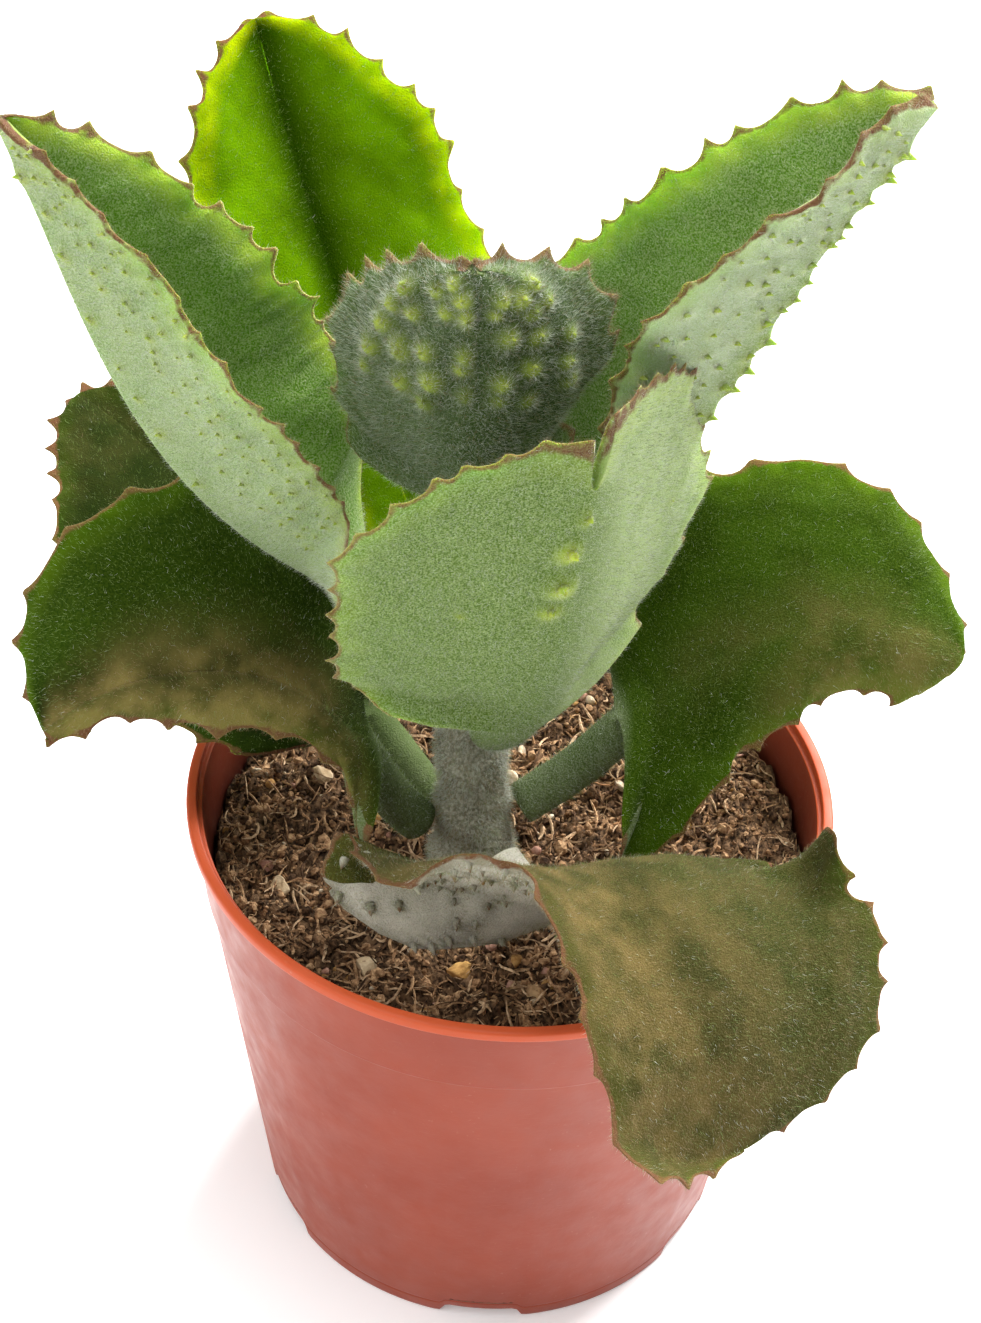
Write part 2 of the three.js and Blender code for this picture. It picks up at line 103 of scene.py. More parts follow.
def along(values: Sequence[float], share: np.ndarray | float) -> np.ndarray:
    """Reads a smooth curve through evenly spaced values.

    Args:
        values: the values, at even steps from share 0 to share 1.
        share: where to read the curve; places outside 0 to 1 take the nearest end.

    Returns:
        The value at each share.
    """
    table = np.asarray(values, float)
    share = np.asarray(share, float)
    if len(table) == 1:
        return np.full_like(share, table[0])
    place = np.clip(share, 0, 1) * (len(table) - 1)
    i = np.minimum(np.floor(place).astype(int), len(table) - 2)
    t = place - i
    b, c = table[i], table[i + 1]
    a = np.where(i > 0, table[np.maximum(i - 1, 0)], 2 * b - c)
    d = np.where(i + 2 < len(table), table[np.minimum(i + 2, len(table) - 1)], 2 * c - b)
    bend = (2 * a - 5 * b + 4 * c - d) * t**2 + (3 * b - a - 3 * c + d) * t**3
    return 0.5 * (2 * b + (c - a) * t + bend)


def direction(pitch: np.ndarray, heading: np.ndarray) -> np.ndarray:
    """Gives unit vectors for slopes and compass headings in degrees.

    Args:
        pitch: slope above the horizontal.
        heading: 0 is +X and 90 is +Y.

    Returns:
        An array of vectors, one for each pair.
    """
    p, h = np.radians(pitch), np.radians(heading)
    return np.stack([np.cos(p) * np.cos(h), np.cos(p) * np.sin(h), np.sin(p)], -1)


def unit(vectors: np.ndarray) -> np.ndarray:
    """Scales each vector to length one."""
    return vectors / np.maximum(np.linalg.norm(vectors, axis=-1, keepdims=True), 1e-12)


def smooth_step(low: float, high: float, value: np.ndarray) -> np.ndarray:
    """Rises smoothly from 0 at `low` to 1 at `high`."""
    t = np.clip((value - low) / (high - low), 0, 1)
    return t * t * (3 - 2 * t)


def full_turn(sides: int) -> np.ndarray:
    """Gives evenly spaced angles round a circle."""
    return np.linspace(0, 2 * math.pi, sides, endpoint=False)


def node_box(node: str) -> tuple[np.ndarray, np.ndarray]:
    """Gives the two corners of a CAD node's box in millimetres."""
    low, high = (np.array(corner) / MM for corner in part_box(node))
    return low, high


def ring_faces(rings: int, count: int) -> np.ndarray:
    """Makes the triangles of a closed skin over stacked rings of points.

    Args:
        rings: how many rings there are.
        count: how many points each ring has.

    Returns:
        Triangles as rows of three indices, with both ends closed by fans.
    """
    k = np.arange(count)
    start = np.arange(rings - 1)[:, None] * count
    a, b = start + k, start + (k + 1) % count
    walls = np.stack([a, b, a + count, b, b + count, a + count], -1).reshape(-1, 3)
    fan = np.arange(1, count - 1)
    last = (rings - 1) * count
    foot = np.stack([0 * fan, fan + 1, fan], -1)
    top = np.stack([0 * fan + last, last + fan, last + fan + 1], -1)
    return np.concatenate([walls, foot, top])


@dataclass
class Skin:
    """Points and triangles of a piece in millimetres, with named values on its points."""

    points: np.ndarray
    faces: np.ndarray
    marks: Grids = field(default_factory=dict)
    slots: np.ndarray | None = None

    @staticmethod
    def tube(rings: np.ndarray, **marks: np.ndarray) -> "Skin":
        """Makes a closed skin over stacked rings.

        Args:
            rings: points, in an array of rings by columns by three.
            marks: named values, in arrays of rings by columns.

        Returns:
            The skin, closed at both ends.
        """
        flat = {name: np.ravel(values) for name, values in marks.items()}
        return Skin(rings.reshape(-1, 3), ring_faces(*rings.shape[:2]), flat)

    @staticmethod
    def scattered(copies: np.ndarray, faces: np.ndarray, slots: np.ndarray) -> "Skin":
        """Makes one skin of many small pieces that share their triangles.

        Args:
            copies: points, in an array of copies by points by three.
            faces: the triangles of one copy.
            slots: the material slot of each copy.

        Returns:
            All copies as one skin.
        """
        count, size = copies.shape[:2]
        index = (np.arange(count) * size)[:, None, None] + faces
        return Skin(copies.reshape(-1, 3), index.reshape(-1, 3), {}, np.repeat(slots, len(faces)))

    @staticmethod
    def joined(skins: "Sequence[Skin]") -> "Skin":
        """Joins several skins into one.

        Args:
            skins: the skins, which all carry the same marks.

        Returns:
            One skin with the points and faces of all.
        """
        starts = np.cumsum([0] + [len(s.points) for s in skins[:-1]])
        slots = [np.zeros(len(s.faces), int) if s.slots is None else s.slots for s in skins]
        return Skin(
            np.concatenate([s.points for s in skins]),
            np.concatenate([s.faces + n for s, n in zip(skins, starts)]),
            {name: np.concatenate([s.marks[name] for s in skins]) for name in skins[0].marks},
            np.concatenate(slots),
        )

    def build(self, name: str, materials: Sequence[bpy.types.Material],
              smooth: bool = True) -> bpy.types.Object:
        """Makes the Blender object.

        Args:
            name: the object's name.
            materials: its materials, in the order of the slots.
            smooth: whether its faces are shaded smooth.

        Returns:
            The object, linked to the scene.
        """
        mesh = bpy.data.meshes.new(name)
        count = len(self.faces)
        mesh.vertices.add(len(self.points))
        mesh.vertices.foreach_set("co", (self.points * MM).astype(np.float32).ravel())
        mesh.loops.add(3 * count)
        mesh.loops.foreach_set("vertex_index", self.faces.astype(np.int32).ravel())
        mesh.polygons.add(count)
        mesh.polygons.foreach_set("loop_start", np.arange(0, 3 * count, 3, dtype=np.int32))
        for material in materials:
            mesh.materials.append(material)
        if self.slots is not None:
            mesh.polygons.foreach_set("material_index", self.slots.astype(np.int32))
        mesh.polygons.foreach_set("use_smooth", np.full(count, smooth))
        for mark, values in self.marks.items():
            layer = mesh.attributes.new(mark, "FLOAT", "POINT")
            layer.data.foreach_set("value", values.astype(np.float32))
        mesh.update(calc_edges=True)
        piece = bpy.data.objects.new(name, mesh)
        bpy.context.scene.collection.objects.link(piece)
        return piece


def settle(piece: bpy.types.Object, slot: Slot, *nodes: str) -> None:
    """Puts a finished piece on the part's body in place of its CAD nodes.

    Args:
        piece: the piece.
        slot: the record's material slot; not used.
        nodes: the CAD nodes that it stands for.
    """
    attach(piece, BODY)
    if nodes:
        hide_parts(*nodes)
    log.info("%s: %d faces", piece.name, len(piece.data.polygons))


class Waves:
    """A repeatable rough surface: a sum of slanted sine waves."""

    PER_OCTAVE: ClassVar[int] = 7

    def __init__(self, seed: int, length: float, height: float, octaves: int = 3) -> None:
        """Chooses the waves.

        Args:
            seed: starts the random choice.
            length: length of the longest waves.
            height: height of the longest waves; each octave halves both.
            octaves: how many octaves there are.
        """
        rng = np.random.default_rng(seed)
        self.terms = []
        for octave in range(octaves):
            for _ in range(self.PER_OCTAVE):
                angle, phase = rng.uniform(0, 2 * math.pi, 2)
                pace = 2 * math.pi / (length * 0.5**octave * rng.uniform(0.7, 1.4))
                size = height * 0.5**octave / (self.PER_OCTAVE / 2)
                self.terms.append((pace * math.cos(angle), pace * math.sin(angle), phase, size))

    def height(self, x: np.ndarray, y: np.ndarray) -> np.ndarray:
        """Gives the height at each place."""
        return sum(size * np.sin(a * x + b * y + phase) for a, b, phase, size in self.terms)


# Materials ----------------------------------------------------------------------------------


class Paint:
    """A material being wired, with short calls for the nodes that the finishes share."""

    def __init__(self, name: str, roughness: float) -> None:
        """Starts a material with one principled shader.

        Args:
            name: the material's name.
            roughness: the shader's roughness.
        """
        self.material = bpy.data.materials.new(name)
        self.material.use_nodes = True
        self.nodes = self.material.node_tree.nodes
        self.links = self.material.node_tree.links
        self.nodes.clear()
        output = self.nodes.new("ShaderNodeOutputMaterial")
        self.shader = self.nodes.new("ShaderNodeBsdfPrincipled")
        self.shader.inputs["Roughness"].default_value = roughness
        self.links.new(self.shader.outputs["BSDF"], output.inputs["Surface"])
        self.place = self.nodes.new("ShaderNodeTexCoord").outputs["Object"]

    def _feed(self, socket: bpy.types.NodeSocket, value: object) -> None:
        """Links a socket to another, or sets its value.

        Args:
            socket: the input socket.
            value: the socket that it is linked to, a colour or a number.
        """
        if isinstance(value, bpy.types.NodeSocket):
            self.links.new(value, socket)
        elif isinstance(value, tuple):
            socket.default_value = (*value, 1.0)
        else:
            socket.default_value = value

    def colour(self, value: object) -> None:
        """Sets the shader's colour."""
        self._feed(self.shader.inputs["Base Color"], value)

    def set(self, **values: object) -> None:
        """Sets shader sockets by name, with underscores for the spaces."""
        for name, value in values.items():
            self.shader.inputs[name.replace("_", " ")].default_value = value

    def noise(self, grain: float, detail: float = 3.0,
              stretch: Place = (1, 1, 1)) -> bpy.types.NodeSocket:
        """Adds a noise.

        Args:
            grain: size of its grains in millimetres.
            detail: how many finer octaves it has.
            stretch: how much denser it is along each axis.

        Returns:
            The noise, about 0.3 to 0.7.
        """
        mapping = self.nodes.new("ShaderNodeMapping")
        mapping.inputs["Scale"].default_value = stretch
        self.links.new(self.place, mapping.inputs["Vector"])
        node = self.nodes.new("ShaderNodeTexNoise")
        node.inputs["Scale"].default_value = 1 / (grain * MM)
        node.inputs["Detail"].default_value = detail
        self.links.new(mapping.outputs["Vector"], node.inputs["Vector"])
        return node.outputs["Fac"]

    def mark(self, name: str) -> bpy.types.NodeSocket:
        """Reads a named value of the mesh's points.

        Args:
            name: the mark's name.

        Returns:
            The value.
        """
        node = self.nodes.new("ShaderNodeAttribute")
        node.attribute_name = name
        return node.outputs["Fac"]

    def span(self, value: object, low: float, high: float,
             floor: float = 0.0, top: float = 1.0) -> bpy.types.NodeSocket:
        """Maps a value from low..high to floor..top, clamped.

        Args:
            value: the socket that is mapped.
            low: where the result is `floor`.
            high: where the result is `top`.
            floor: the result's lower end.
            top: the result's upper end.

        Returns:
            The mapped value.
        """
        node = self.nodes.new("ShaderNodeMapRange")
        ends = {"From Min": low, "From Max": high, "To Min": floor, "To Max": top}
        for name, number in ends.items():
            node.inputs[name].default_value = number
        self._feed(node.inputs["Value"], value)
        return node.outputs["Result"]

    def _math(self, kind: str, a: object, b: object) -> bpy.types.NodeSocket:
        """Combines two values, clamped to 0 to 1.

        Args:
            kind: the math node's operation.
            a: the first value.
            b: the second value.

        Returns:
            The result.
        """
        node = self.nodes.new("ShaderNodeMath")
        node.operation = kind
        node.use_clamp = True
        self._feed(node.inputs[0], a)
        self._feed(node.inputs[1], b)
        return node.outputs["Value"]

    def times(self, a: object, b: object) -> bpy.types.NodeSocket:
        """Multiplies two values."""
        return self._math("MULTIPLY", a, b)

    def plus(self, a: object, b: object) -> bpy.types.NodeSocket:
        """Adds two values."""
        return self._math("ADD", a, b)

    def mix(self, share: object, a: object, b: object) -> bpy.types.NodeSocket:
        """Mixes two colours.

        Args:
            share: how much of the second one is taken.
            a: the first colour.
            b: the second colour.

        Returns:
            The mixed colour.
        """
        node = self.nodes.new("ShaderNodeMix")
        node.data_type = "RGBA"
        self._feed(node.inputs[0], share)
        self._feed(node.inputs[6], a)
        self._feed(node.inputs[7], b)
        return node.outputs[2]

    def rough(self, value: object) -> None:
        """Drives the shader's roughness."""
        self._feed(self.shader.inputs["Roughness"], value)

    def bump(self, height: object, depth: float) -> None:
        """Adds a bump.

        Args:
            height: the bump's height, 0 to 1.
            depth: how deep it is, in millimetres.
        """
        node = self.nodes.new("ShaderNodeBump")
        node.inputs["Distance"].default_value = depth * MM
        self._feed(node.inputs["Height"], height)
        self.links.new(node.outputs["Normal"], self.shader.inputs["Normal"])


class Finish:
    """A finish, whose material is made on its first use and then shared."""

    name: str

    def material(self) -> bpy.types.Material:
        """Makes the finish's material."""
        raise NotImplementedError

    def shared(self) -> bpy.types.Material:
        """Gives the finish's material."""
        return bpy.data.materials.get(self.name) or self.material()


@dataclass(frozen=True)
class FeltFinish(Finish):
    """A felted leaf.

    `deep` is the dark colour that paints shade along the midrib crease, near the base and over
    shaded blades; the random mottle also mixes it in. `glow` is painted light showing through the
    thin margin and round the bumps, `rim` the colour of the margin's brown edge and `tan` that of
    dry patches. `felt`, `dry_felt` and `under_felt` are the fine felt on green, on dry and on lower
    skin. The shares say how much of the skin felt covers, how strong the painted light through the
    margin is, how much light goes through the leaf and how much it shines.
    """

    name: str
    upper: Colour
    deep: Colour
    under: Colour
    glow: Colour
    felt: Colour
    rim: Colour = (0.13, 0.058, 0.028)
    tan: Colour = (0.135, 0.098, 0.030)
    dry_felt: Colour = (0.26, 0.185, 0.08)
    under_felt: Colour = (0.50, 0.57, 0.40)
    felt_share: float = 0.4
    glow_share: float = 0.8
    light_through: float = 0.25
    gloss: float = 0.12

    def material(self) -> bpy.types.Material:
        """Makes the leaf's material.

        Returns:
            The material.
        """
        paint = Paint(self.name, 0.85)
        cloud = paint.span(paint.noise(14), 0.35, 0.65, top=0.5)
        # random mottle toward the dark colour that the painted shade below also uses
        upper = paint.mix(cloud, self.upper, self.deep)
        # painted shade: darker along the midrib crease, near the base and over shaded blades
        upper = paint.mix(paint.mark("deep"), upper, self.deep)
        patches = paint.span(paint.noise(7, 5), 0.35, 0.62, floor=0.25)
        tanned = paint.times(paint.mark("tan"), patches)
        green = paint.span(paint.noise(9, 4), 0.3, 0.7, top=0.5)
        colour = paint.mix(paint.mark("under"), upper, paint.mix(green, self.under, self.upper))
        colour = paint.mix(tanned, colour, self.tan)
        # painted light showing through the thin margin and round the bumps
        thin = paint.span(paint.noise(5, 2), 0.35, 0.6, floor=0.35, top=self.glow_share)
        colour = paint.mix(paint.times(paint.mark("glow"), thin), colour, self.glow)
        ragged = paint.span(paint.noise(1.6), 0.3, 0.7, floor=-0.35, top=0.3)
        edge = paint.span(paint.plus(paint.mark("brown"), ragged), 0.3, 0.85)
        fuzz = paint.noise(0.3)
        # thinner felt where the painted light and the painted shade lie
        bald = paint.times(
            paint.span(paint.mark("glow"), 0.2, 1.0, floor=1.0, top=0.25),
            paint.span(paint.mark("deep"), 0.1, 1.0, floor=1.0, top=0.2),
        )
        speckle = paint.times(paint.span(fuzz, 0.40, 0.64, top=self.felt_share), bald)
        felt = paint.mix(paint.mark("under"), self.felt, self.under_felt)
        # painted light: a lit side is paled with the felt colour in patches
        painted_light_patches = paint.span(paint.noise(6, 4), 0.3, 0.7, floor=0.6)
        colour = paint.mix(paint.times(paint.mark("painted_light_bloom"), painted_light_patches), colour, felt)
        felt = paint.mix(edge, paint.mix(tanned, felt, self.dry_felt), self.dry_felt)
        paint.colour(paint.mix(speckle, paint.mix(edge, colour, self.rim), felt))
        paint.bump(fuzz, 0.4)
        paint.set(Subsurface_Weight=self.light_through, Subsurface_Scale=0.004)
        paint.set(Subsurface_Radius=(0.6, 1.0, 0.25), Specular_IOR_Level=self.gloss)
        paint.set(Sheen_Weight=self.gloss, Sheen_Roughness=0.4)
        return paint.material


@dataclass(frozen=True)
class HairFinish(Finish):
    """Colour of one tint of hair."""

    name: str
    colour: Colour

    def material(self) -> bpy.types.Material:
        """Makes the hair's material.

        Returns:
            The material.
        """
        paint = Paint(self.name, 0.7)
        paint.colour(self.colour)
        paint.set(Sheen_Weight=0.2, Specular_IOR_Level=0.3)
        return paint.material


@dataclass(frozen=True)
class PlasticFinish(Finish):
    """Blow-moulded terracotta plastic with light scuffs and dust, and painted shade on its inner
    wall.
    """

    name: str = "terracotta_plastic_scuffed"
    body: Colour = (0.285, 0.051, 0.024)
    shade: Colour = (0.24, 0.040, 0.019)
    edge: Colour = (0.46, 0.075, 0.022)
    # painted shade for the inner wall
    inner: Colour = (0.030, 0.006, 0.003)
    dust: Colour = (0.50, 0.27, 0.20)

    def material(self) -> bpy.types.Material:
        """Makes the pot's material, which reads the marks `edge` and `inside`; `inside` paints
        shade on the inner wall.

        Returns:
            The material.
        """
        paint = Paint(self.name, 0.4)
        colour = paint.mix(paint.span(paint.noise(30), 0.35, 0.65), self.body, self.shade)
        colour = paint.mix(paint.mark("edge"), colour, self.edge)
        # painted shade: the inner wall is darkened as the shade inside the pot
        colour = paint.mix(paint.mark("inside"), colour, self.inner)
        specks = paint.span(paint.noise(0.9, 2), 0.68, 0.76, top=0.3)
        dusty = paint.times(specks, paint.span(paint.noise(18), 0.45, 0.65))
        scuffs = paint.span(paint.noise(3, 5, (1, 1, 9)), 0.62, 0.74, top=0.08)
        paint.colour(paint.mix(paint.plus(dusty, scuffs), colour, self.dust))
        paint.rough(paint.span(paint.noise(6, 4), 0.3, 0.7, floor=0.34, top=0.52))
        paint.bump(paint.noise(1.2, 4), 0.03)
        paint.set(Subsurface_Weight=0.12, Subsurface_Scale=0.002)
        paint.set(Subsurface_Radius=(1.0, 0.3, 0.15), Specular_IOR_Level=0.2)
        return paint.material


@dataclass(frozen=True)
class EarthFinish(Finish):
    """A crumbly matt stuff in two tints; `grain` and `depth` are of its bumps, in millimetres."""

    name: str
    light: Colour
    dark: Colour
    grain: float = 1.2
    depth: float = 0.5

    def material(self) -> bpy.types.Material:
        """Makes the material.

        Returns:
            The material.
        """
        paint = Paint(self.name, 0.95)
        share = paint.span(paint.noise(self.grain, 5), 0.38, 0.62)
        paint.colour(paint.mix(share, self.dark, self.light))
        paint.bump(paint.noise(self.grain / 2, 5), self.depth)
        paint.set(Specular_IOR_Level=0.15)
        return paint.material


@dataclass(frozen=True)
class StemFinish(Finish):
    """Grey-green skin under the stem's felt."""

    name: str = "felted_stem_skin"
    skin: Colour = (0.20, 0.20, 0.13)
    shade: Colour = (0.10, 0.095, 0.055)
    felt: Colour = (0.50, 0.49, 0.39)

    def material(self) -> bpy.types.Material:
        """Makes the stem's material.

        Returns:
            The material.
        """
        paint = Paint(self.name, 0.9)
        colour = paint.mix(paint.span(paint.noise(5, 4), 0.35, 0.65), self.skin, self.shade)
        fuzz = paint.noise(0.6, 2)
        share = paint.span(fuzz, 0.4, 0.65, floor=0.1, top=0.7)
        paint.colour(paint.mix(share, colour, self.felt))
        paint.bump(fuzz, 0.3)
        paint.set(Sheen_Weight=0.3, Sheen_Roughness=0.4, Specular_IOR_Level=0.2)
        return paint.material


LEAF_FINISH = {
    LeafAgeAndLight.YOUNG: FeltFinish(
        "young_leaf_felt", (0.075, 0.14, 0.012), (0.03, 0.07, 0.008), (0.085, 0.155, 0.014),
        (0.46, 0.58, 0.06), (0.31, 0.42, 0.13), under_felt=(0.42, 0.52, 0.24), felt_share=0.62,
        glow_share=0.95, light_through=0.45,
    ),
    # the grown leaf with painted light: brighter colours for the top leaves lit from above
    LeafAgeAndLight.GROWN: FeltFinish(
        "grown_leaf_felt", (0.09, 0.21, 0.008), (0.045, 0.11, 0.004), (0.22, 0.30, 0.09),
        (0.34, 0.44, 0.03), (0.42, 0.50, 0.25), felt_share=0.55, light_through=0.35,
    ),
    # the grown leaf with painted shade: dark colours for the lower leaves in the shade of others
    LeafAgeAndLight.SHADED: FeltFinish(
        "shaded_leaf_felt", (0.030, 0.068, 0.002), (0.005, 0.013, 0.0005), (0.10, 0.13, 0.05),
        (0.09, 0.16, 0.003), (0.13, 0.19, 0.02), tan=(0.21, 0.165, 0.05), felt_share=0.3,
        light_through=0.12, gloss=0.02,
    ),
    LeafAgeAndLight.INNER: FeltFinish(
        "inner_leaf_felt", (0.07, 0.12, 0.02), (0.03, 0.06, 0.012), (0.030, 0.062, 0.014),
        (0.42, 0.52, 0.06), (0.34, 0.39, 0.25), under_felt=(0.24, 0.29, 0.17), felt_share=0.5,
        glow_share=0.95, light_through=0.2,
    ),
    # painted back light: bright greens for the leaf lit from behind, with dark painted shade along
    # its midrib crease
    LeafAgeAndLight.BACKLIT: FeltFinish(
        "backlit_leaf_felt", (0.115, 0.25, 0.0015), (0.008, 0.028, 0.0005), (0.19, 0.27, 0.06),
        (0.36, 0.44, 0.002), (0.18, 0.31, 0.003), felt_share=0.2, light_through=0.5, gloss=0.0,
    ),
    LeafAgeAndLight.OLD: FeltFinish(
        "old_leaf_felt", (0.017, 0.026, 0.003), (0.006, 0.011, 0.001), (0.60, 0.57, 0.47),
        (0.06, 0.06, 0.012), (0.115, 0.115, 0.035), under_felt=(0.74, 0.70, 0.60), felt_share=0.36,
        light_through=0.1, gloss=0.03,
    ),
}


# Hair ---------------------------------------------------------------------------------------


class HairTint(Enum):
    """Tints of hair, in the order of the hair pieces' material slots."""

    WHITE = HairFinish("felt_hair_white", (0.56, 0.60, 0.50))
    GREEN = HairFinish("felt_hair_green", (0.19, 0.27, 0.07))
    TAN = HairFinish("felt_hair_tan", (0.30, 0.205, 0.10))


@dataclass(frozen=True)
class Coat:
    """A coat of short tapering hairs over a skin.

    `per_area` is the number of hairs on a square millimetre, `length` and `width` are a hair's,
    and `lean` says how flat hairs lie. `white` is the share of white hairs below, `tan` the least
    share of tan ones, `upper` the density on an upper face against that below, and `most` the
    largest number of hairs.
    """

    TOUSLE: ClassVar[float] = 0.75
    LEANS: ClassVar[tuple[float, float]] = (0.4, 1.3)
    LENGTHS: ClassVar[tuple[float, float]] = (0.55, 1.35)
    WIDTHS: ClassVar[tuple[float, float]] = (0.7, 1.2)
    ROOT_DEPTH: ClassVar[float] = 0.05
    DROOP: ClassVar[float] = 0.12
    UPPER_WHITE: ClassVar[float] = 0.35
    TANNED: ClassVar[float] = 0.7

    per_area: float = 4.4
    length: float = 1.1
    width: float = 0.055
    lean: float = 0.9
    white: float = 0.45
    tan: float = 0.0
    upper: float = 0.55
    most: int = 48000

    def grow(self, skin: Skin, flow: np.ndarray, rng: np.random.Generator) -> Skin:
        """Grows the hairs.

        Args:
            skin: what they stand on; its mark `brown` is 1 where hairs are tan.
            flow: for each point, the way the hairs lean.
            rng: the random source.

        Returns:
            The hairs, each a closed three-sided spike.
        """
        corners = skin.points[skin.faces]
        cross = np.cross(corners[:, 1] - corners[:, 0], corners[:, 2] - corners[:, 0])
        area = np.linalg.norm(cross, axis=1) / 2
        under = skin.marks.get("under", np.ones(len(skin.points)))[skin.faces[:, 0]]
        area = area * np.where(under > 0.5, 1.0, self.upper)
        count = min(self.most, int(self.per_area * area.sum()))
        chosen = np.searchsorted(np.cumsum(area) / area.sum(), rng.random(count))
        chosen = np.minimum(chosen, len(area) - 1)
        parts = rng.dirichlet((1, 1, 1), count)
        root = np.einsum("ij,ijk->ik", parts, corners[chosen])
        normal = unit(cross[chosen])
        lean = flow[skin.faces[chosen, 0]] + rng.normal(0, self.TOUSLE, (count, 3))
        lean = unit(lean - normal * np.sum(lean * normal, 1, keepdims=True))
        way = unit(normal + lean * self.lean * rng.uniform(*self.LEANS, (count, 1)))
        side = unit(np.cross(way, rng.normal(size=(count, 3))))
        other = np.cross(way, side)
        long = self.length * rng.uniform(*self.LENGTHS, (count, 1))
        thick = self.width / 2 * rng.uniform(*self.WIDTHS, (count, 1))
        root = root - normal * self.ROOT_DEPTH
        foot = [root + thick * (math.cos(a) * side + math.sin(a) * other) for a in full_turn(3)]
        tip = root + way * long - normal * self.DROOP * long
        tanned = skin.marks.get("tan", np.zeros(len(skin.points))) * self.TANNED
        brown = np.maximum(skin.marks["brown"], tanned)
        brown = np.maximum(brown[skin.faces[chosen, 0]], self.tan)
        pale = self.white * np.where(under[chosen] > 0.5, 1.0, self.UPPER_WHITE)
        tint = np.where(rng.random(count) < pale, 0, 1)
        tint = np.where(rng.random(count) < brown, 2, tint)
        sides = np.array([[0, 1, 3], [1, 2, 3], [2, 0, 3], [0, 2, 1]])
        return Skin.scattered(np.stack([*foot, tip], 1), sides, tint)


# Stem ---------------------------------------------------------------------------------------


@dataclass
class Stem:
    """The felted stem, which leans a little and is thickest at the soil.

    `foot` is its middle at the height of the rim, `lean` how far it has moved at its top, and
    `buried` how deep it goes into the soil.
    """

    ROUGH: ClassVar[Waves] = Waves(seed=11, length=9, height=0.5)
    SCAR_SPACING: ClassVar[float] = 12.0
    SCAR_HEIGHT: ClassVar[float] = 0.35
    CAP_HEIGHT: ClassVar[float] = 3.0
    ROUGH_ROUND: ClassVar[float] = 6.0

    rim: float
    headspace: float
    base_radius: float = 6.5
    top_radius: float = 4.6
    height: float = 78.0
    root_flare: float = 1.5
    foot: tuple[float, float] = (-7.0, -4.5)
    lean: tuple[float, float] = (-4.0, 6.5)
    buried: float = 8.0

    def middle(self, node: np.ndarray | float) -> np.ndarray:
        """Finds the stem's middle.

        Args:
            node: heights above the rim.

        Returns:
            The middle at each height.
        """
        share = np.asarray(node, float) / self.height
        x = self.foot[0] + self.lean[0] * share
        y = self.foot[1] + self.lean[1] * share
        return np.stack([x, y, self.rim + np.asarray(node, float)], -1)

    def radius(self, node: np.ndarray | float) -> np.ndarray:
        """Finds the stem's radius.

        Args:
            node: heights above the rim.

        Returns:
            The radius at each height.
        """
        share = np.clip(np.asarray(node, float) / self.height, 0, 1)
        above = (np.asarray(node, float) + self.headspace) / self.headspace
        taper = self.base_radius + (self.top_radius - self.base_radius) * share
        return taper + self.root_flare * np.exp(-4 * above**2)

    def skin(self) -> Skin:
        """Shapes the stem, with faint rings where old leaves were.

        Returns:
            The stem's closed skin.
        """
        node = np.linspace(-self.headspace - self.buried, self.height, 260)
        turn, level = np.meshgrid(full_turn(72), node)
        scars = self.SCAR_HEIGHT * np.cos(level / self.SCAR_SPACING * 2 * math.pi)
        close = np.sqrt(np.clip((self.height - level) / self.CAP_HEIGHT, 0.02, 1))
        swell = scars + self.ROUGH.height(turn * self.ROUGH_ROUND, level)
        wide = (self.radius(level) + swell) * close
        out = np.stack([np.cos(turn) * wide, np.sin(turn) * wide, np.zeros_like(wide)], -1)
        return Skin.tube(self.middle(node)[:, None, :] + out, brown=np.full_like(wide, 0.25))

    def build(self) -> None:
        """Builds and dresses the stem and its hairs."""
        skin = self.skin()
        settle(skin.build("stem_skin", [StemFinish().material()]), Slot.STEM, "stem")
        coat = Coat(per_area=9.5, length=1.5, lean=0.5, white=0.75)
        flow = np.tile((0.0, 0.0, -0.4), (len(skin.points), 1))
        hairs = coat.grow(skin, flow, np.random.default_rng(31))
        settle(hairs.build("stem_hairs", hair_materials(), smooth=False), Slot.STEM)


def hair_materials() -> list[bpy.types.Material]:
    """Gives the three hair materials."""
    return [tint.value.shared() for tint in HairTint]


# Leaves -------------------------------------------------------------------------------------


@dataclass(frozen=True)
class Bumps:
    """Rows of horny bumps under a leaf.

    Each row is a share of the way from the midrib to the margin, negative on the left. `start`
    and `end` are shares of the blade, `spacing` and `height` millimetres. `horn` is how brown the
    tips are and `mound` how much the skin swells round them.
    """

    rows: tuple[float, ...]
    start: float = 0.15
    end: float = 0.92
    spacing: float = 6.0
    height: float = 1.6
    jitter: float = 0.35
    horn: float = 0.5
    mound: float = 1.0


@dataclass(frozen=True)
class Curl:
    """A short stretch of margin that reaches out and curls.

    `side` is 1 for the right and -1 for the left, `at` and `span` are shares of the blade,
    `angle` is the turn at the margin in degrees and `reach` the added width.
    """

    side: int
    at: float
    span: float
    angle: float
    reach: float

    def strength(self, share: np.ndarray) -> np.ndarray:
        """How strong the curl is at each ring, from 0 to 1."""
        return np.exp(-(((share - self.at) / self.span) ** 2))


LEAF_MARKS = ("brown", "glow", "deep", "under", "tan", "painted_light_bloom")


def leaf_marks(like: np.ndarray, **given: np.ndarray) -> Grids:
    """Gives all marks of a leaf's finish: those given, and zero for the rest."""
    return {name: given.get(name, np.zeros_like(like)) for name in LEAF_MARKS}


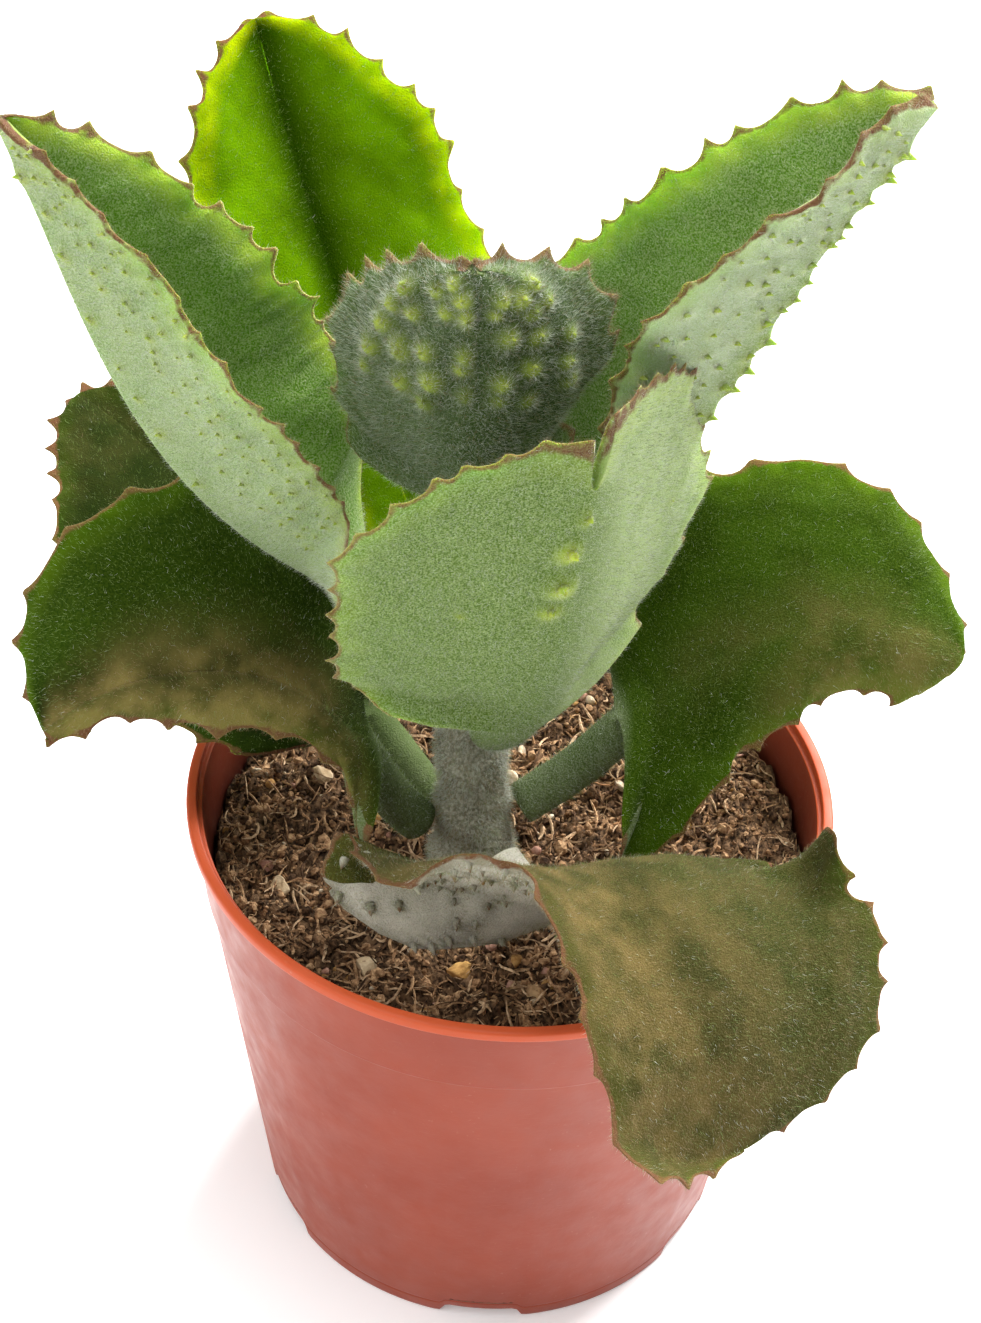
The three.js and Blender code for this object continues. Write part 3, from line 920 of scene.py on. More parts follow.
@dataclass
class Leaf:
    """One leaf: a round stalk that opens into a folded, toothed blade.

    `node` is the height of the stalk on the stem above the rim. `pitch` and `heading` follow the
    midrib in even steps. Widths run from the base of the blade to its tip. Slopes are those of
    the cross-section from the midrib out; several rows run from the base to the tip.

    Pairs are for the left and the right side: `lobe` is how far the base reaches back, `crown` how
    far the tip reaches ahead, `tan` how dry a side is, `glow` how much painted light shows through
    its thin margin, and `painted_light_bloom` how much painted light lies on that side as paler
    felt. `tan_from` is where on the blade the dry part begins, `crest` how tan the midrib is,
    `midrib_shade` how much painted shade lies along the midrib crease, and `shadow` how much
    painted shade darkens the whole blade. `ruffle`, `ribs` and `tooth` are heights.
    """

    OPENING: ClassVar[float] = 0.12
    TIP_CROWDING: ClassVar[float] = 1.7
    LAST_RING: ClassVar[float] = 0.9996
    MARGIN_CROWDING: ClassVar[float] = 1.35
    MARGIN_SWEEP: ClassVar[float] = 1.6
    MARGIN_POWER: ClassVar[int] = 14
    RIB_SPREAD: ClassVar[float] = 0.3
    MIDRIB_SHADE_WIDTH: ClassVar[float] = 7.0
    CREST_SPREAD: ClassVar[float] = 0.22
    PAINTED_GLOW_REACH: ClassVar[tuple[float, float]] = (1.5, 8.0)
    CUSP_POWER: ClassVar[float] = 2.6
    CUSP_JITTER: ClassVar[float] = 0.22
    BASE_ROUND: ClassVar[float] = 0.08
    TIP_POWER: ClassVar[int] = 8
    RING_STEP: ClassVar[float] = 0.5
    COLUMN_STEP: ClassVar[float] = 0.75
    STALK_RINGS: ClassVar[int] = 14
    MIDRIB_STEPS: ClassVar[int] = 400
    STALK_GAP: ClassVar[float] = 0.5
    TOOTH_POWER: ClassVar[int] = 9
    TEETH_TURN_FROM: ClassVar[float] = 0.3
    SPIKE_HEIGHTS: ClassVar[tuple[float, ...]] = (0.0, 0.35, 0.8, 1.2)
    SPIKE_RADII: ClassVar[tuple[float, ...]] = (0.5, 0.38, 0.2, 0.03)
    SPIKE_ROOT: ClassVar[float] = 0.3

    name: str
    node: float
    petiole: float
    blade: float
    pitch: tuple[float, ...]
    heading: tuple[float, ...]
    left_width: tuple[float, ...]
    right_width: tuple[float, ...]
    left_slope: tuple[tuple[float, ...], ...]
    right_slope: tuple[tuple[float, ...], ...]
    roll: tuple[float, ...] = (0.0,)
    lobe: tuple[float, float] = (0.0, 0.0)
    crown: tuple[float, float] = (0.0, 0.0)
    tan: tuple[float, float] = (0.0, 0.0)
    tan_from: float = 0.0
    crest: float = 0.0
    midrib_shade: float = 0.5
    shadow: float = 0.0
    glow: tuple[float, float] = (1.0, 1.0)
    painted_light_bloom: tuple[float, float] = (0.0, 0.0)
    curls: tuple[Curl, ...] = ()
    petiole_radius: float = 4.0
    age: LeafAgeAndLight = LeafAgeAndLight.GROWN
    bumps: tuple[Bumps, ...] = ()
    ruffle: float = 0.8
    ribs: float = 0.0
    tooth: float = 2.3
    tooth_spacing: float = 7.6
    seed: int = 1
    coat: Coat = Coat()
    half_thickness: float = 1.0
    rib_thickness: float = 2.4

    def _midrib(self, stem: Stem) -> tuple[np.ndarray, np.ndarray]:
        """Follows the midrib.

        Args:
            stem: the stem that the leaf stands on.

        Returns:
            Shares of the whole length and the points there.
        """
        steps = self.MIDRIB_STEPS
        length = self.petiole + self.blade
        lean = self.petiole_radius * math.sin(math.radians(abs(self.pitch[0])))
        away = float(stem.radius(self.node - self.petiole_radius)) + self.STALK_GAP + lean
        start = stem.middle(self.node) + direction(0, self.heading[0]) * away
        share = (np.arange(steps) + 0.5) / steps
        step = direction(along(self.pitch, share), along(self.heading, share)) * (length / steps)
        points = np.vstack([start, start + np.cumsum(step, 0)])
        return np.linspace(0, 1, steps + 1), points

    def _shares(self) -> np.ndarray:
        """Places the rings, closer together toward the tip.

        Returns:
            Shares of the blade, which are below 0 on the stalk.
        """
        even = np.linspace(0, 1, int(self.blade / self.RING_STEP))
        blade = 1 - (1 - even) ** self.TIP_CROWDING
        stalk = np.linspace(-self.petiole / self.blade, 0, self.STALK_RINGS, endpoint=False)
        return np.concatenate([stalk, np.minimum(blade, self.LAST_RING)])

    def _side(self, sign: int, share: np.ndarray, across: np.ndarray) -> Grids:
        """Lays out one side of the blade.

        Args:
            sign: 1 for the right side and -1 for the left.
            share: places of the rings.
            across: places of the columns, 0 at the midrib and 1 at the margin.

        Returns:
            For each ring and column the distance out, the height, how far it is moved ahead, the
            slope, and for each ring the tooth's size and the width.
        """
        widths = self.right_width if sign > 0 else self.left_width
        rows = np.asarray(self.right_slope if sign > 0 else self.left_slope, float)
        inside = np.clip(share, 0, 1)
        ends = np.sqrt(np.clip(share / self.BASE_ROUND, 0, 1)) * np.sqrt(1 - inside**self.TIP_POWER)
        stalk = self.petiole_radius * np.sqrt(1 - inside)
        uneven = Waves(self.seed * 3 + sign, 26, 1.6, 2).height(share * self.blade, 0 * share)
        curls = [curl for curl in self.curls if curl.side == sign]
        reach = sum((curl.reach * curl.strength(share) for curl in curls), np.zeros_like(share))
        width = np.hypot(stalk, (along(widths, inside) + uneven + reach) * ends)
        width = np.where(share > 0, width, self.petiole_radius)
        columns = [along(rows[:, c], inside) for c in range(rows.shape[1])]
        slope = np.array([along([c[i] for c in columns], across) for i in range(len(share))])
        for curl in curls:
            margin = smooth_step(0.6, 1.0, across)
            slope = slope + curl.angle * curl.strength(share)[:, None] * margin
        slope = np.radians(slope) * np.clip(share / self.OPENING, 0, 1)[:, None]
        tooth = self._teeth(sign, share, width)
        turn = np.arctan2(-np.gradient(width), np.gradient(share * self.blade))
        turn = np.where(share > self.TEETH_TURN_FROM, np.clip(turn, 0, math.pi / 2), 0)
        margin = across**self.TOOTH_POWER
        reach = width[:, None] * across + (tooth * np.cos(turn))[:, None] * margin
        step = np.diff(reach, axis=1)
        mean = (slope[:, 1:] + slope[:, :-1]) / 2
        out = np.pad(np.cumsum(step * np.cos(mean), 1), ((0, 0), (1, 0)))
        up = np.pad(np.cumsum(step * np.sin(mean), 1), ((0, 0), (1, 0)))
        ahead = (tooth * np.sin(turn))[:, None] * margin
        return {"out": out, "up": up, "ahead": ahead, "slope": slope, "tooth": tooth,
                "width": width}

    def _teeth(self, sign: int, share: np.ndarray, width: np.ndarray) -> np.ndarray:
        """Scallops of the margin, which meet in small teeth.

        Args:
            sign: the side of the blade.
            share: places of the rings.
            width: half width at each ring.

        Returns:
            How far the margin stands out at each ring.
        """
        rng = np.random.default_rng(self.seed * 7 + (sign > 0))
        run = np.hypot(np.gradient(share * self.blade), np.gradient(width))
        run = np.cumsum(np.where(share > 0, run, 0))
        count = max(4, round(run[-1] / self.tooth_spacing))
        jitter = rng.uniform(-self.CUSP_JITTER, self.CUSP_JITTER, count + 1)
        posts = (np.arange(count + 1) + jitter) / count * run[-1]
        size = rng.uniform(0.6, 1.15, count + 1)
        index = np.clip(np.searchsorted(posts, run) - 1, 0, count - 1)
        part = np.clip((run - posts[index]) / (posts[index + 1] - posts[index]), 0, 1)
        cusp = np.where(part < 0.5, size[index], size[index + 1])
        cusp = cusp * np.abs(2 * part - 1) ** self.CUSP_POWER
        fade = np.clip(share / 0.06, 0, 1) * np.clip((1 - share) / 0.004, 0.1, 1)
        return self.tooth * cusp * fade

    def _thickness(self, share: np.ndarray, across: np.ndarray) -> tuple[np.ndarray, np.ndarray]:
        """Gives the half thickness above and below the middle.

        Args:
            share: places of the rings.
            across: places of the columns.

        Returns:
            The two half thicknesses, each for every ring and column.
        """
        u, t = share[:, None], across[None, :]
        stalk = self.petiole_radius * np.sqrt(np.clip(1 - t**2, 0, 1))
        above = self.half_thickness * (1 - 0.5 * t**4)
        above = above * np.sqrt(np.clip(1 - t**self.MARGIN_POWER, 0, 1))
        rib = self.rib_thickness * np.exp(-((t / self.RIB_SPREAD) ** 2)) * (1 - np.clip(u, 0, 1))
        blend = np.clip(u / 0.1, 0, 1)
        return stalk + (above - stalk) * blend, stalk + (above + rib - stalk) * blend

    def skin(self, stem: Stem) -> tuple[Skin, np.ndarray]:
        """Shapes the leaf.

        Args:
            stem: the stem that it grows from.

        Returns:
            The leaf's closed skin and the way the hairs lean at each point.
        """
        share = self._shares()
        columns = int(max(*self.left_width, *self.right_width) / self.COLUMN_STEP) + 6
        across = 1 - (1 - np.linspace(0, 1, columns)) ** self.MARGIN_CROWDING
        places, midrib = self._midrib(stem)
        place = (self.petiole + share * self.blade) / (self.petiole + self.blade)
        middle = np.stack([np.interp(place, places, midrib[:, k]) for k in range(3)], -1)
        heading = along(self.heading, place)
        forward = direction(along(self.pitch, place), heading)
        level = direction(np.zeros_like(heading), heading - 90)
        raised = np.cross(level, forward)
        roll = np.radians(along(self.roll, share))[:, None]
        right = np.cos(roll) * level + np.sin(roll) * np.cross(forward, level)
        top = np.cross(right, forward)
        above, below = self._thickness(share, across)
        opened = np.clip(share / self.OPENING, 0, 1)
        inside = np.clip(share, 0, 1)
        parts = {}
        for sign in (1, -1):
            side = self._side(sign, share, across)
            back = self.lobe[sign > 0] * (1 - inside) ** 2 * opened
            point = middle[:, None] + sign * side["out"][..., None] * right[:, None]
            point = point + side["up"][..., None] * top[:, None]
            ahead = self.crown[sign > 0] * inside**3
            shift = (ahead - back)[:, None] * across**self.MARGIN_SWEEP + side["ahead"]
            point = point + shift[..., None] * forward[:, None]
            normal = np.cos(side["slope"])[..., None] * top[:, None]
            normal = normal - sign * np.sin(side["slope"])[..., None] * right[:, None]
            lift = self._lift(sign, share, across, side["width"]) * opened[:, None]
            point = point + lift[..., None] * normal
            parts[sign] = {
                "upper": point + normal * above[..., None],
                "lower": point - normal * below[..., None],
                "normal": normal,
                "tooth": (side["tooth"] / self.tooth)[:, None],
                "width": side["width"][:, None],
            }
        return self._assemble(share, across, forward, parts)

    def _lift(self, sign: int, share: np.ndarray, across: np.ndarray,
              width: np.ndarray) -> np.ndarray:
        """Gives ruffles, ribs and dents as heights above the even blade.

        Args:
            sign: the side of the blade.
            share: places of the rings.
            across: places of the columns.
            width: half width at each ring.

        Returns:
            The height for each ring and column.
        """
        run = share * self.blade
        phase = self.seed * 1.7 + sign
        wave = np.sin(run / 8.3 + phase) + 0.6 * np.sin(run / 4.4 + 2.1 * phase)
        ruffle = self.ruffle * wave[:, None] * across**3
        ribs = self.ribs * np.cos(across * 5 * math.pi) * smooth_step(0.1, 0.4, share)[:, None]
        dents = Waves(self.seed + 40, 17, 0.5).height(run[:, None], sign * width[:, None] * across)
        return ruffle + ribs + dents * across

    def _assemble(self, share: np.ndarray, across: np.ndarray, forward: np.ndarray,
                  parts: Sides) -> tuple[Skin, np.ndarray]:
        """Joins the two sides into one skin with its marks and bumps.

        Args:
            share: places of the rings.
            across: places of the columns.
            forward: direction of the midrib at each ring.
            parts: the points of each side.

        Returns:
            The skin and the hairs' lean.
        """
        spikes, swell = self._bumps(share, across, forward, parts)
        for sign, part in parts.items():
            part["lower"] = part["lower"] - part["normal"] * swell[sign]["height"][..., None]
            part["glow"] = swell[sign]["glow"]
        order = (
            (1, False, slice(None)), (1, True, slice(-2, None, -1)),
            (-1, True, slice(1, None)), (-1, False, slice(-2, 0, -1)),
        )
        points, values, flow = [], {name: [] for name in LEAF_MARKS}, []
        for sign, under, cut in order:
            face = parts[sign]["lower" if under else "upper"]
            points.append(face[:, cut])
            for name, grid in self._marks(sign, under, share, across, parts[sign]).items():
                values[name].append(grid[:, cut])
            outward = unit(np.gradient(face, axis=1))
            lean = outward * 0.7 * across[:, None] + forward[:, None] * 0.8
            flow.append(lean[:, cut])
        marks = {name: np.concatenate(grids, 1) for name, grids in values.items()}
        body = Skin.tube(np.concatenate(points, 1), **marks)
        whole = Skin.joined([body, *spikes])
        extra = len(whole.points) - len(body.points)
        lean = np.concatenate(flow, 1).reshape(-1, 3)
        return whole, np.vstack([lean, np.tile(forward[-1], (extra, 1))])

    def _marks(self, sign: int, under: bool, share: np.ndarray, across: np.ndarray,
               part: Grids) -> Grids:
        """Gives the marks of one face of one side.

        Args:
            sign: the side of the blade.
            under: whether it is the lower face.
            share: places of the rings.
            across: places of the columns.
            part: the side's points, widths, teeth and the painted light round its bumps.

        Returns:
            The marks for each ring and column.
        """
        u, t = np.meshgrid(share, across, indexing="ij")
        side = int(sign > 0)
        inward = (1 - t) * part["width"] * 1.2
        bare = smooth_step(0.0, 0.05, u)
        brown = (1 - smooth_step(0.3, 1.2 + 1.5 * part["tooth"], inward)) * bare
        # painted light through the thin margin, strongest near the edge
        glow = (1 - smooth_step(*self.PAINTED_GLOW_REACH, inward)) * bare * self.glow[side]
        # painted shade along the midrib crease
        midrib = np.exp(-((t * part["width"] / self.MIDRIB_SHADE_WIDTH) ** 2))
        midrib = midrib * smooth_step(0.05, 0.4, u)
        mean = sum(self.tan) / 2
        tan = mean + (self.tan[side] - mean) * smooth_step(0.0, 0.5, t)
        tan = tan * smooth_step(self.tan_from, self.tan_from + 0.3, u)
        crest = self.crest * np.exp(-((t / self.CREST_SPREAD) ** 2)) * smooth_step(0.05, 0.3, u)
        if under:
            # lower face: painted shade from `shadow` alone
            brown, tan, deep = brown * 0.9, tan * 0.35, np.clip(self.shadow + 0 * t, 0, 1)
            # painted light on the lower face: weaker at the margin, and round the bumps
            glow = np.maximum(glow * 0.7, part["glow"])
        else:
            # upper face: painted shade along the midrib crease, near the base and, from `shadow`,
            # over the whole blade
            deep = self.midrib_shade * midrib + 0.25 * (1 - smooth_step(0.0, 0.5, u))
            deep, tan = np.clip(deep + self.shadow, 0, 1), np.maximum(tan, crest)
        return {
            "brown": brown, "glow": glow, "deep": deep, "under": np.maximum(1 - bare, under),
            # painted light on a lit side, laid on as paler felt
            "tan": tan, "painted_light_bloom": self.painted_light_bloom[side] * smooth_step(0.0, 0.35, t) * bare,
        }

    def _bumps(self, share: np.ndarray, across: np.ndarray, forward: np.ndarray,
               parts: Sides) -> tuple[list[Skin], Sides]:
        """Makes the horny bumps: a swelling of the skin with a pointed spike on it.

        Args:
            share: places of the rings.
            across: places of the columns.
            forward: direction of the midrib at each ring.
            parts: the points of each side.

        Returns:
            The spikes, and for each side the height of the swellings and the painted light round
            them.
        """
        rng = np.random.default_rng(self.seed + 90)
        spikes: list[Skin] = []
        shape = (len(share), len(across))
        swell = {sign: {"height": np.zeros(shape), "glow": np.zeros(shape)} for sign in parts}
        for group, row in ((group, row) for group in self.bumps for row in group.rows):
            sign = 1 if row >= 0 else -1
            lower, mounds = parts[sign]["lower"], swell[sign]
            length = group.end - group.start
            count = max(1, int(length * self.blade / group.spacing))
            for k in range(count):
                u = group.start + length * (k + 0.5 + rng.uniform(-1, 1) * group.jitter) / count
                t = abs(row) + rng.uniform(-0.05, 0.05)
                i = int(np.argmin(np.abs(share - u)))
                j = int(np.argmin(np.abs(across - np.clip(t, 0.0, 0.97))))
                tall = group.height * rng.uniform(0.55, 1.15)
                gap = np.linalg.norm(lower - lower[i, j], axis=-1)
                bulge = group.mound * np.exp(-((gap / (0.75 * tall + 0.5)) ** 2))
                mounds["height"] = np.maximum(mounds["height"], 0.5 * tall * bulge)
                # painted light round each bump
                bright = np.exp(-((gap / (0.6 * tall + 0.4)) ** 2))
                mounds["glow"] = np.maximum(mounds["glow"], bright)
                way = 0.45 * forward[i] - parts[sign]["normal"][i, j] + rng.normal(0, 0.12, 3)
                spikes.append(self._spike(lower[i, j], unit(way), tall, group.horn))
        return spikes, swell

    def _spike(self, foot: np.ndarray, way: np.ndarray, tall: float, horn: float) -> Skin:
        """Makes one pointed spike.

        Args:
            foot: where it stands.
            way: the way it points.
            tall: its height.
            horn: how brown its tip is.

        Returns:
            The spike, closed.
        """
        angle = full_turn(8)
        side = unit(np.cross(way, (0.3, 0.5, 0.81)))
        other = np.cross(way, side)
        circle = np.cos(angle)[:, None] * side + np.sin(angle)[:, None] * other
        heights = np.array(self.SPIKE_HEIGHTS) * tall
        heights[0] = -self.SPIKE_ROOT
        radii = np.array(self.SPIKE_RADII) * tall
        rings = foot + heights[:, None, None] * way + radii[:, None, None] * circle
        level = np.repeat((0.0, 0.0, 0.6, 1.0), len(angle))
        one = np.ones_like(level)
        # painted light over the spike
        marks = leaf_marks(level, brown=level * horn, glow=0.9 * one, under=one)
        return Skin.tube(rings, **marks)

    def build(self, stem: Stem) -> None:
        """Builds and dresses the leaf and its hairs.

        Args:
            stem: the stem that it grows from.
        """
        skin, flow = self.skin(stem)
        young = {LeafAgeAndLight.YOUNG: Slot.YOUNG_LEAF, LeafAgeAndLight.INNER: Slot.YOUNG_LEAF}
        slot = {LeafAgeAndLight.OLD: Slot.OLD_LEAF, **young}.get(self.age, Slot.LEAF)
        material = LEAF_FINISH[self.age].shared()
        settle(skin.build(f"{self.name}_blade", [material]), slot, self.name)
        hairs = self.coat.grow(skin, flow, np.random.default_rng(self.seed + 300))
        settle(hairs.build(f"{self.name}_hairs", hair_materials(), smooth=False), slot)


LEAVES = (
    Leaf(
        name="leaf_front_right_drooping", node=-7, petiole=16, blade=86, age=LeafAgeAndLight.OLD, seed=1,
        pitch=(-18, 40, 65, 10, -25, -50, -72), heading=(-54, -54, -57, -62), roll=(4, 0, 0),
        left_width=(18, 30, 36, 39, 37), right_width=(52, 34, 24, 27, 30),
        left_slope=((-15, -25, -30), (-14, -22, -22), (-6, -4, 5)),
        right_slope=((25, 60, 75), (10, 30, 50), (5, 15, 30), (0, 20, 40)), lobe=(0, 8), ruffle=2.2,
        tan=(0.25, 0.9), crest=0.0, tooth=2.6,
        coat=Coat(white=0.55, tan=0.45, per_area=6.5, width=0.045),
        curls=(
            Curl(side=-1, at=0.5, span=0.07, angle=130, reach=7),
            Curl(side=1, at=0.93, span=0.07, angle=60, reach=5),
            Curl(side=1, at=0.3, span=0.06, angle=-50, reach=4),
        ),
        bumps=(
            Bumps(
                rows=(0.35, 0.5, 0.65, 0.8, 0.93), start=0.02, end=0.45, spacing=2.8, height=1.9,
                horn=0.75,
            ),
            Bumps(rows=(-0.3, -0.6, -0.85), start=0.1, end=0.9, spacing=7, height=1.3),
        ),
    ),
    Leaf(
        name="leaf_back_left", node=-7, petiole=20, blade=86, age=LeafAgeAndLight.SHADED, seed=2,
        pitch=(28, 32, 28, 10), heading=(138, 142, 146), left_width=(24, 37, 39, 28, 16),
        right_width=(24, 22, 16, 12, 10), left_slope=((10, 5, 0),), right_slope=((10, 20, 20),),
        glow=(0.2, 0.2), tan=(0.12, 0.12), tan_from=0.6, coat=Coat(white=0.05, per_area=1.8),
        shadow=1.0,
        bumps=(Bumps(rows=(-0.7, -0.4, 0.4, 0.7), start=0.2, end=0.9, spacing=8, height=1.3),),
    ),
    Leaf(
        name="leaf_right", node=-2, petiole=26, blade=68, age=LeafAgeAndLight.SHADED, seed=3,
        pitch=(32, 48, 36, 2, -40), heading=(15, 12, 4, 0), left_width=(26, 31, 31, 26, 12),
        right_width=(20, 24, 17, 14, 12), left_slope=((15, 35, 20), (30, 45, 25), (20, 35, 20)),
        right_slope=((0, -35, -30), (-25, -60, -60), (-30, -70, -95)), lobe=(0, 36), ruffle=1.0,
        tan=(0.0, 0.6), tan_from=0.35, crest=0.2, glow=(0.7, 0.5), coat=Coat(white=0.25),
        bumps=(Bumps(rows=(-0.7, -0.4, 0.5, 0.8), start=0.3, end=0.95, spacing=8, height=1.3),),
        curls=(Curl(side=1, at=0.95, span=0.06, angle=-60, reach=5),),
    ),
    Leaf(
        name="leaf_left", node=-2, petiole=22, blade=67, age=LeafAgeAndLight.SHADED, seed=4,
        pitch=(52, 66, 36, -4, -45), heading=(200, 198, 194), left_width=(16, 12, 9, 7, 5),
        right_width=(16, 29, 35, 32, 23), left_slope=((20, -20, -60, -80, -60),),
        right_slope=((30, 40, 30),), lobe=(24, 0), ruffle=1.0, tan=(0.95, 0.0), crest=0.95,
        glow=(0.2, 0.6), coat=Coat(white=0.25), shadow=0.4, midrib_shade=0.8,
        bumps=(
            Bumps(rows=(-0.9,), start=0.5, end=0.95, spacing=6, height=2.0),
            Bumps(rows=(0.4, 0.7), start=0.3, end=0.95, spacing=9, height=1.3),
        ),
    ),
    Leaf(
        name="leaf_front", node=24, petiole=18, blade=60, age=LeafAgeAndLight.YOUNG, seed=5,
        pitch=(38, 68, 78, 78), heading=(-64, -58, -52), left_width=(20, 35, 38, 38, 33),
        right_width=(20, 33, 36, 36, 30), left_slope=((10, 25, 25),), right_slope=((15, 25, 20),),
        crown=(13, 10), coat=Coat(white=0.6, length=1.0, per_area=5.6), glow=(1.0, 0.3),
        painted_light_bloom=(0.75, 0.0), tooth_spacing=6.0,
        bumps=(
            Bumps(rows=(0.02,), start=0.5, end=0.97, spacing=7, height=3.0, jitter=0.2, horn=0.3),
            Bumps(rows=(0.45, -0.7), start=0.35, end=0.8, spacing=16, height=0.6),
        ),
    ),
    Leaf(
        name="leaf_back", node=32, petiole=15, blade=98, age=LeafAgeAndLight.BACKLIT, seed=6,
        pitch=(30, 58, 66, 64), heading=(115, 133, 141, 130), left_width=(12, 17, 28, 29, 18),
        right_width=(20, 28, 31, 27, 18), left_slope=((15, 15, 5),), right_slope=((15, 15, 5),),
        coat=Coat(white=0.05, per_area=2.6), midrib_shade=0.95, tooth=2.8, ruffle=1.2,
        bumps=(Bumps(rows=(-0.75, -0.4, 0.4, 0.75), start=0.2, end=0.9, spacing=7, height=1.4),),
    ),
    Leaf(
        name="leaf_upper_left", node=47, petiole=12, blade=105, seed=7, pitch=(0, 35, 60, 72, 70),
        heading=(180, 180, 176), left_width=(18, 30, 30, 22, 10), right_width=(20, 32, 32, 25, 12),
        left_slope=((40, 55, 60), (50, 60, 60), (55, 60, 50)),
        right_slope=((40, 55, 60), (50, 60, 60), (55, 60, 50)), coat=Coat(white=0.75), ruffle=1.3,
        midrib_shade=0.2, painted_light_bloom=(0.2, 0.0),
        bumps=(
            Bumps(
                rows=(-0.9, -0.75, -0.6, -0.45, 0.5, 0.75), start=0.12, end=0.97, spacing=4.0,
                height=1.1, horn=0.0,
            ),
            Bumps(rows=(0.02, -0.2, 0.2), start=0.3, end=0.97, spacing=8, height=1.6, horn=0.0),
        ),
    ),
    Leaf(
        name="leaf_upper_right", node=51, petiole=12, blade=96, seed=8, pitch=(38, 60, 62, 56),
        heading=(0, 3, 10), left_width=(35, 37, 31, 22, 12), right_width=(12, 18, 25, 21, 10),
        left_slope=((40, 50, 50),), right_slope=((40, 55, 60),), coat=Coat(white=0.75), ruffle=1.4,
        midrib_shade=0.5, painted_light_bloom=(0.0, 0.6),
        bumps=(
            Bumps(
                rows=(0.9, 0.7, 0.5, 0.3, -0.4, -0.7), start=0.12, end=0.95, spacing=4.6,
                height=1.4, horn=0.0,
            ),
            Bumps(rows=(0.02, -0.12, 0.15), start=0.2, end=0.95, spacing=6, height=2.1, horn=0.1),
        ),
    ),
    Leaf(
        name="leaf_young_front", node=69, petiole=6, blade=46, age=LeafAgeAndLight.INNER, seed=9,
        pitch=(60, 80, 86, 88), heading=(-88,), left_width=(18, 24, 27, 24, 16),
        right_width=(18, 24, 27, 24, 16), left_slope=((10, 35, 60),), right_slope=((10, 35, 60),),
        petiole_radius=3, ribs=0.3, tooth=3.4,
        coat=Coat(white=0.75, length=1.4, per_area=9, tan=0.12), ruffle=1.6, glow=(0.1, 0.1),
        bumps=(
            Bumps(
                rows=(-0.62, -0.4, -0.2, 0.02, 0.2, 0.4, 0.62), start=0.42, end=0.97, spacing=4.6,
                height=2.2, jitter=0.45, horn=0.3, mound=1.8,
            ),
        ),
    ),
    Leaf(
        name="leaf_young_back", node=71, petiole=5, blade=27, age=LeafAgeAndLight.INNER, seed=10,
        pitch=(60, 80, 85, 85), heading=(95,), left_width=(10, 15, 17, 15, 9),
        right_width=(10, 15, 17, 15, 9), left_slope=((10, 40, 60),), right_slope=((10, 40, 60),),
        petiole_radius=3, ribs=0.4, tooth=1.4, tooth_spacing=4.5, coat=Coat(white=0.7, per_area=6),
        bumps=(Bumps(rows=(-0.6, -0.2, 0.2, 0.6), start=0.3, end=0.95, spacing=4.5, height=1.4),),
    ),
)


# Pot ----------------------------------------------------------------------------------------


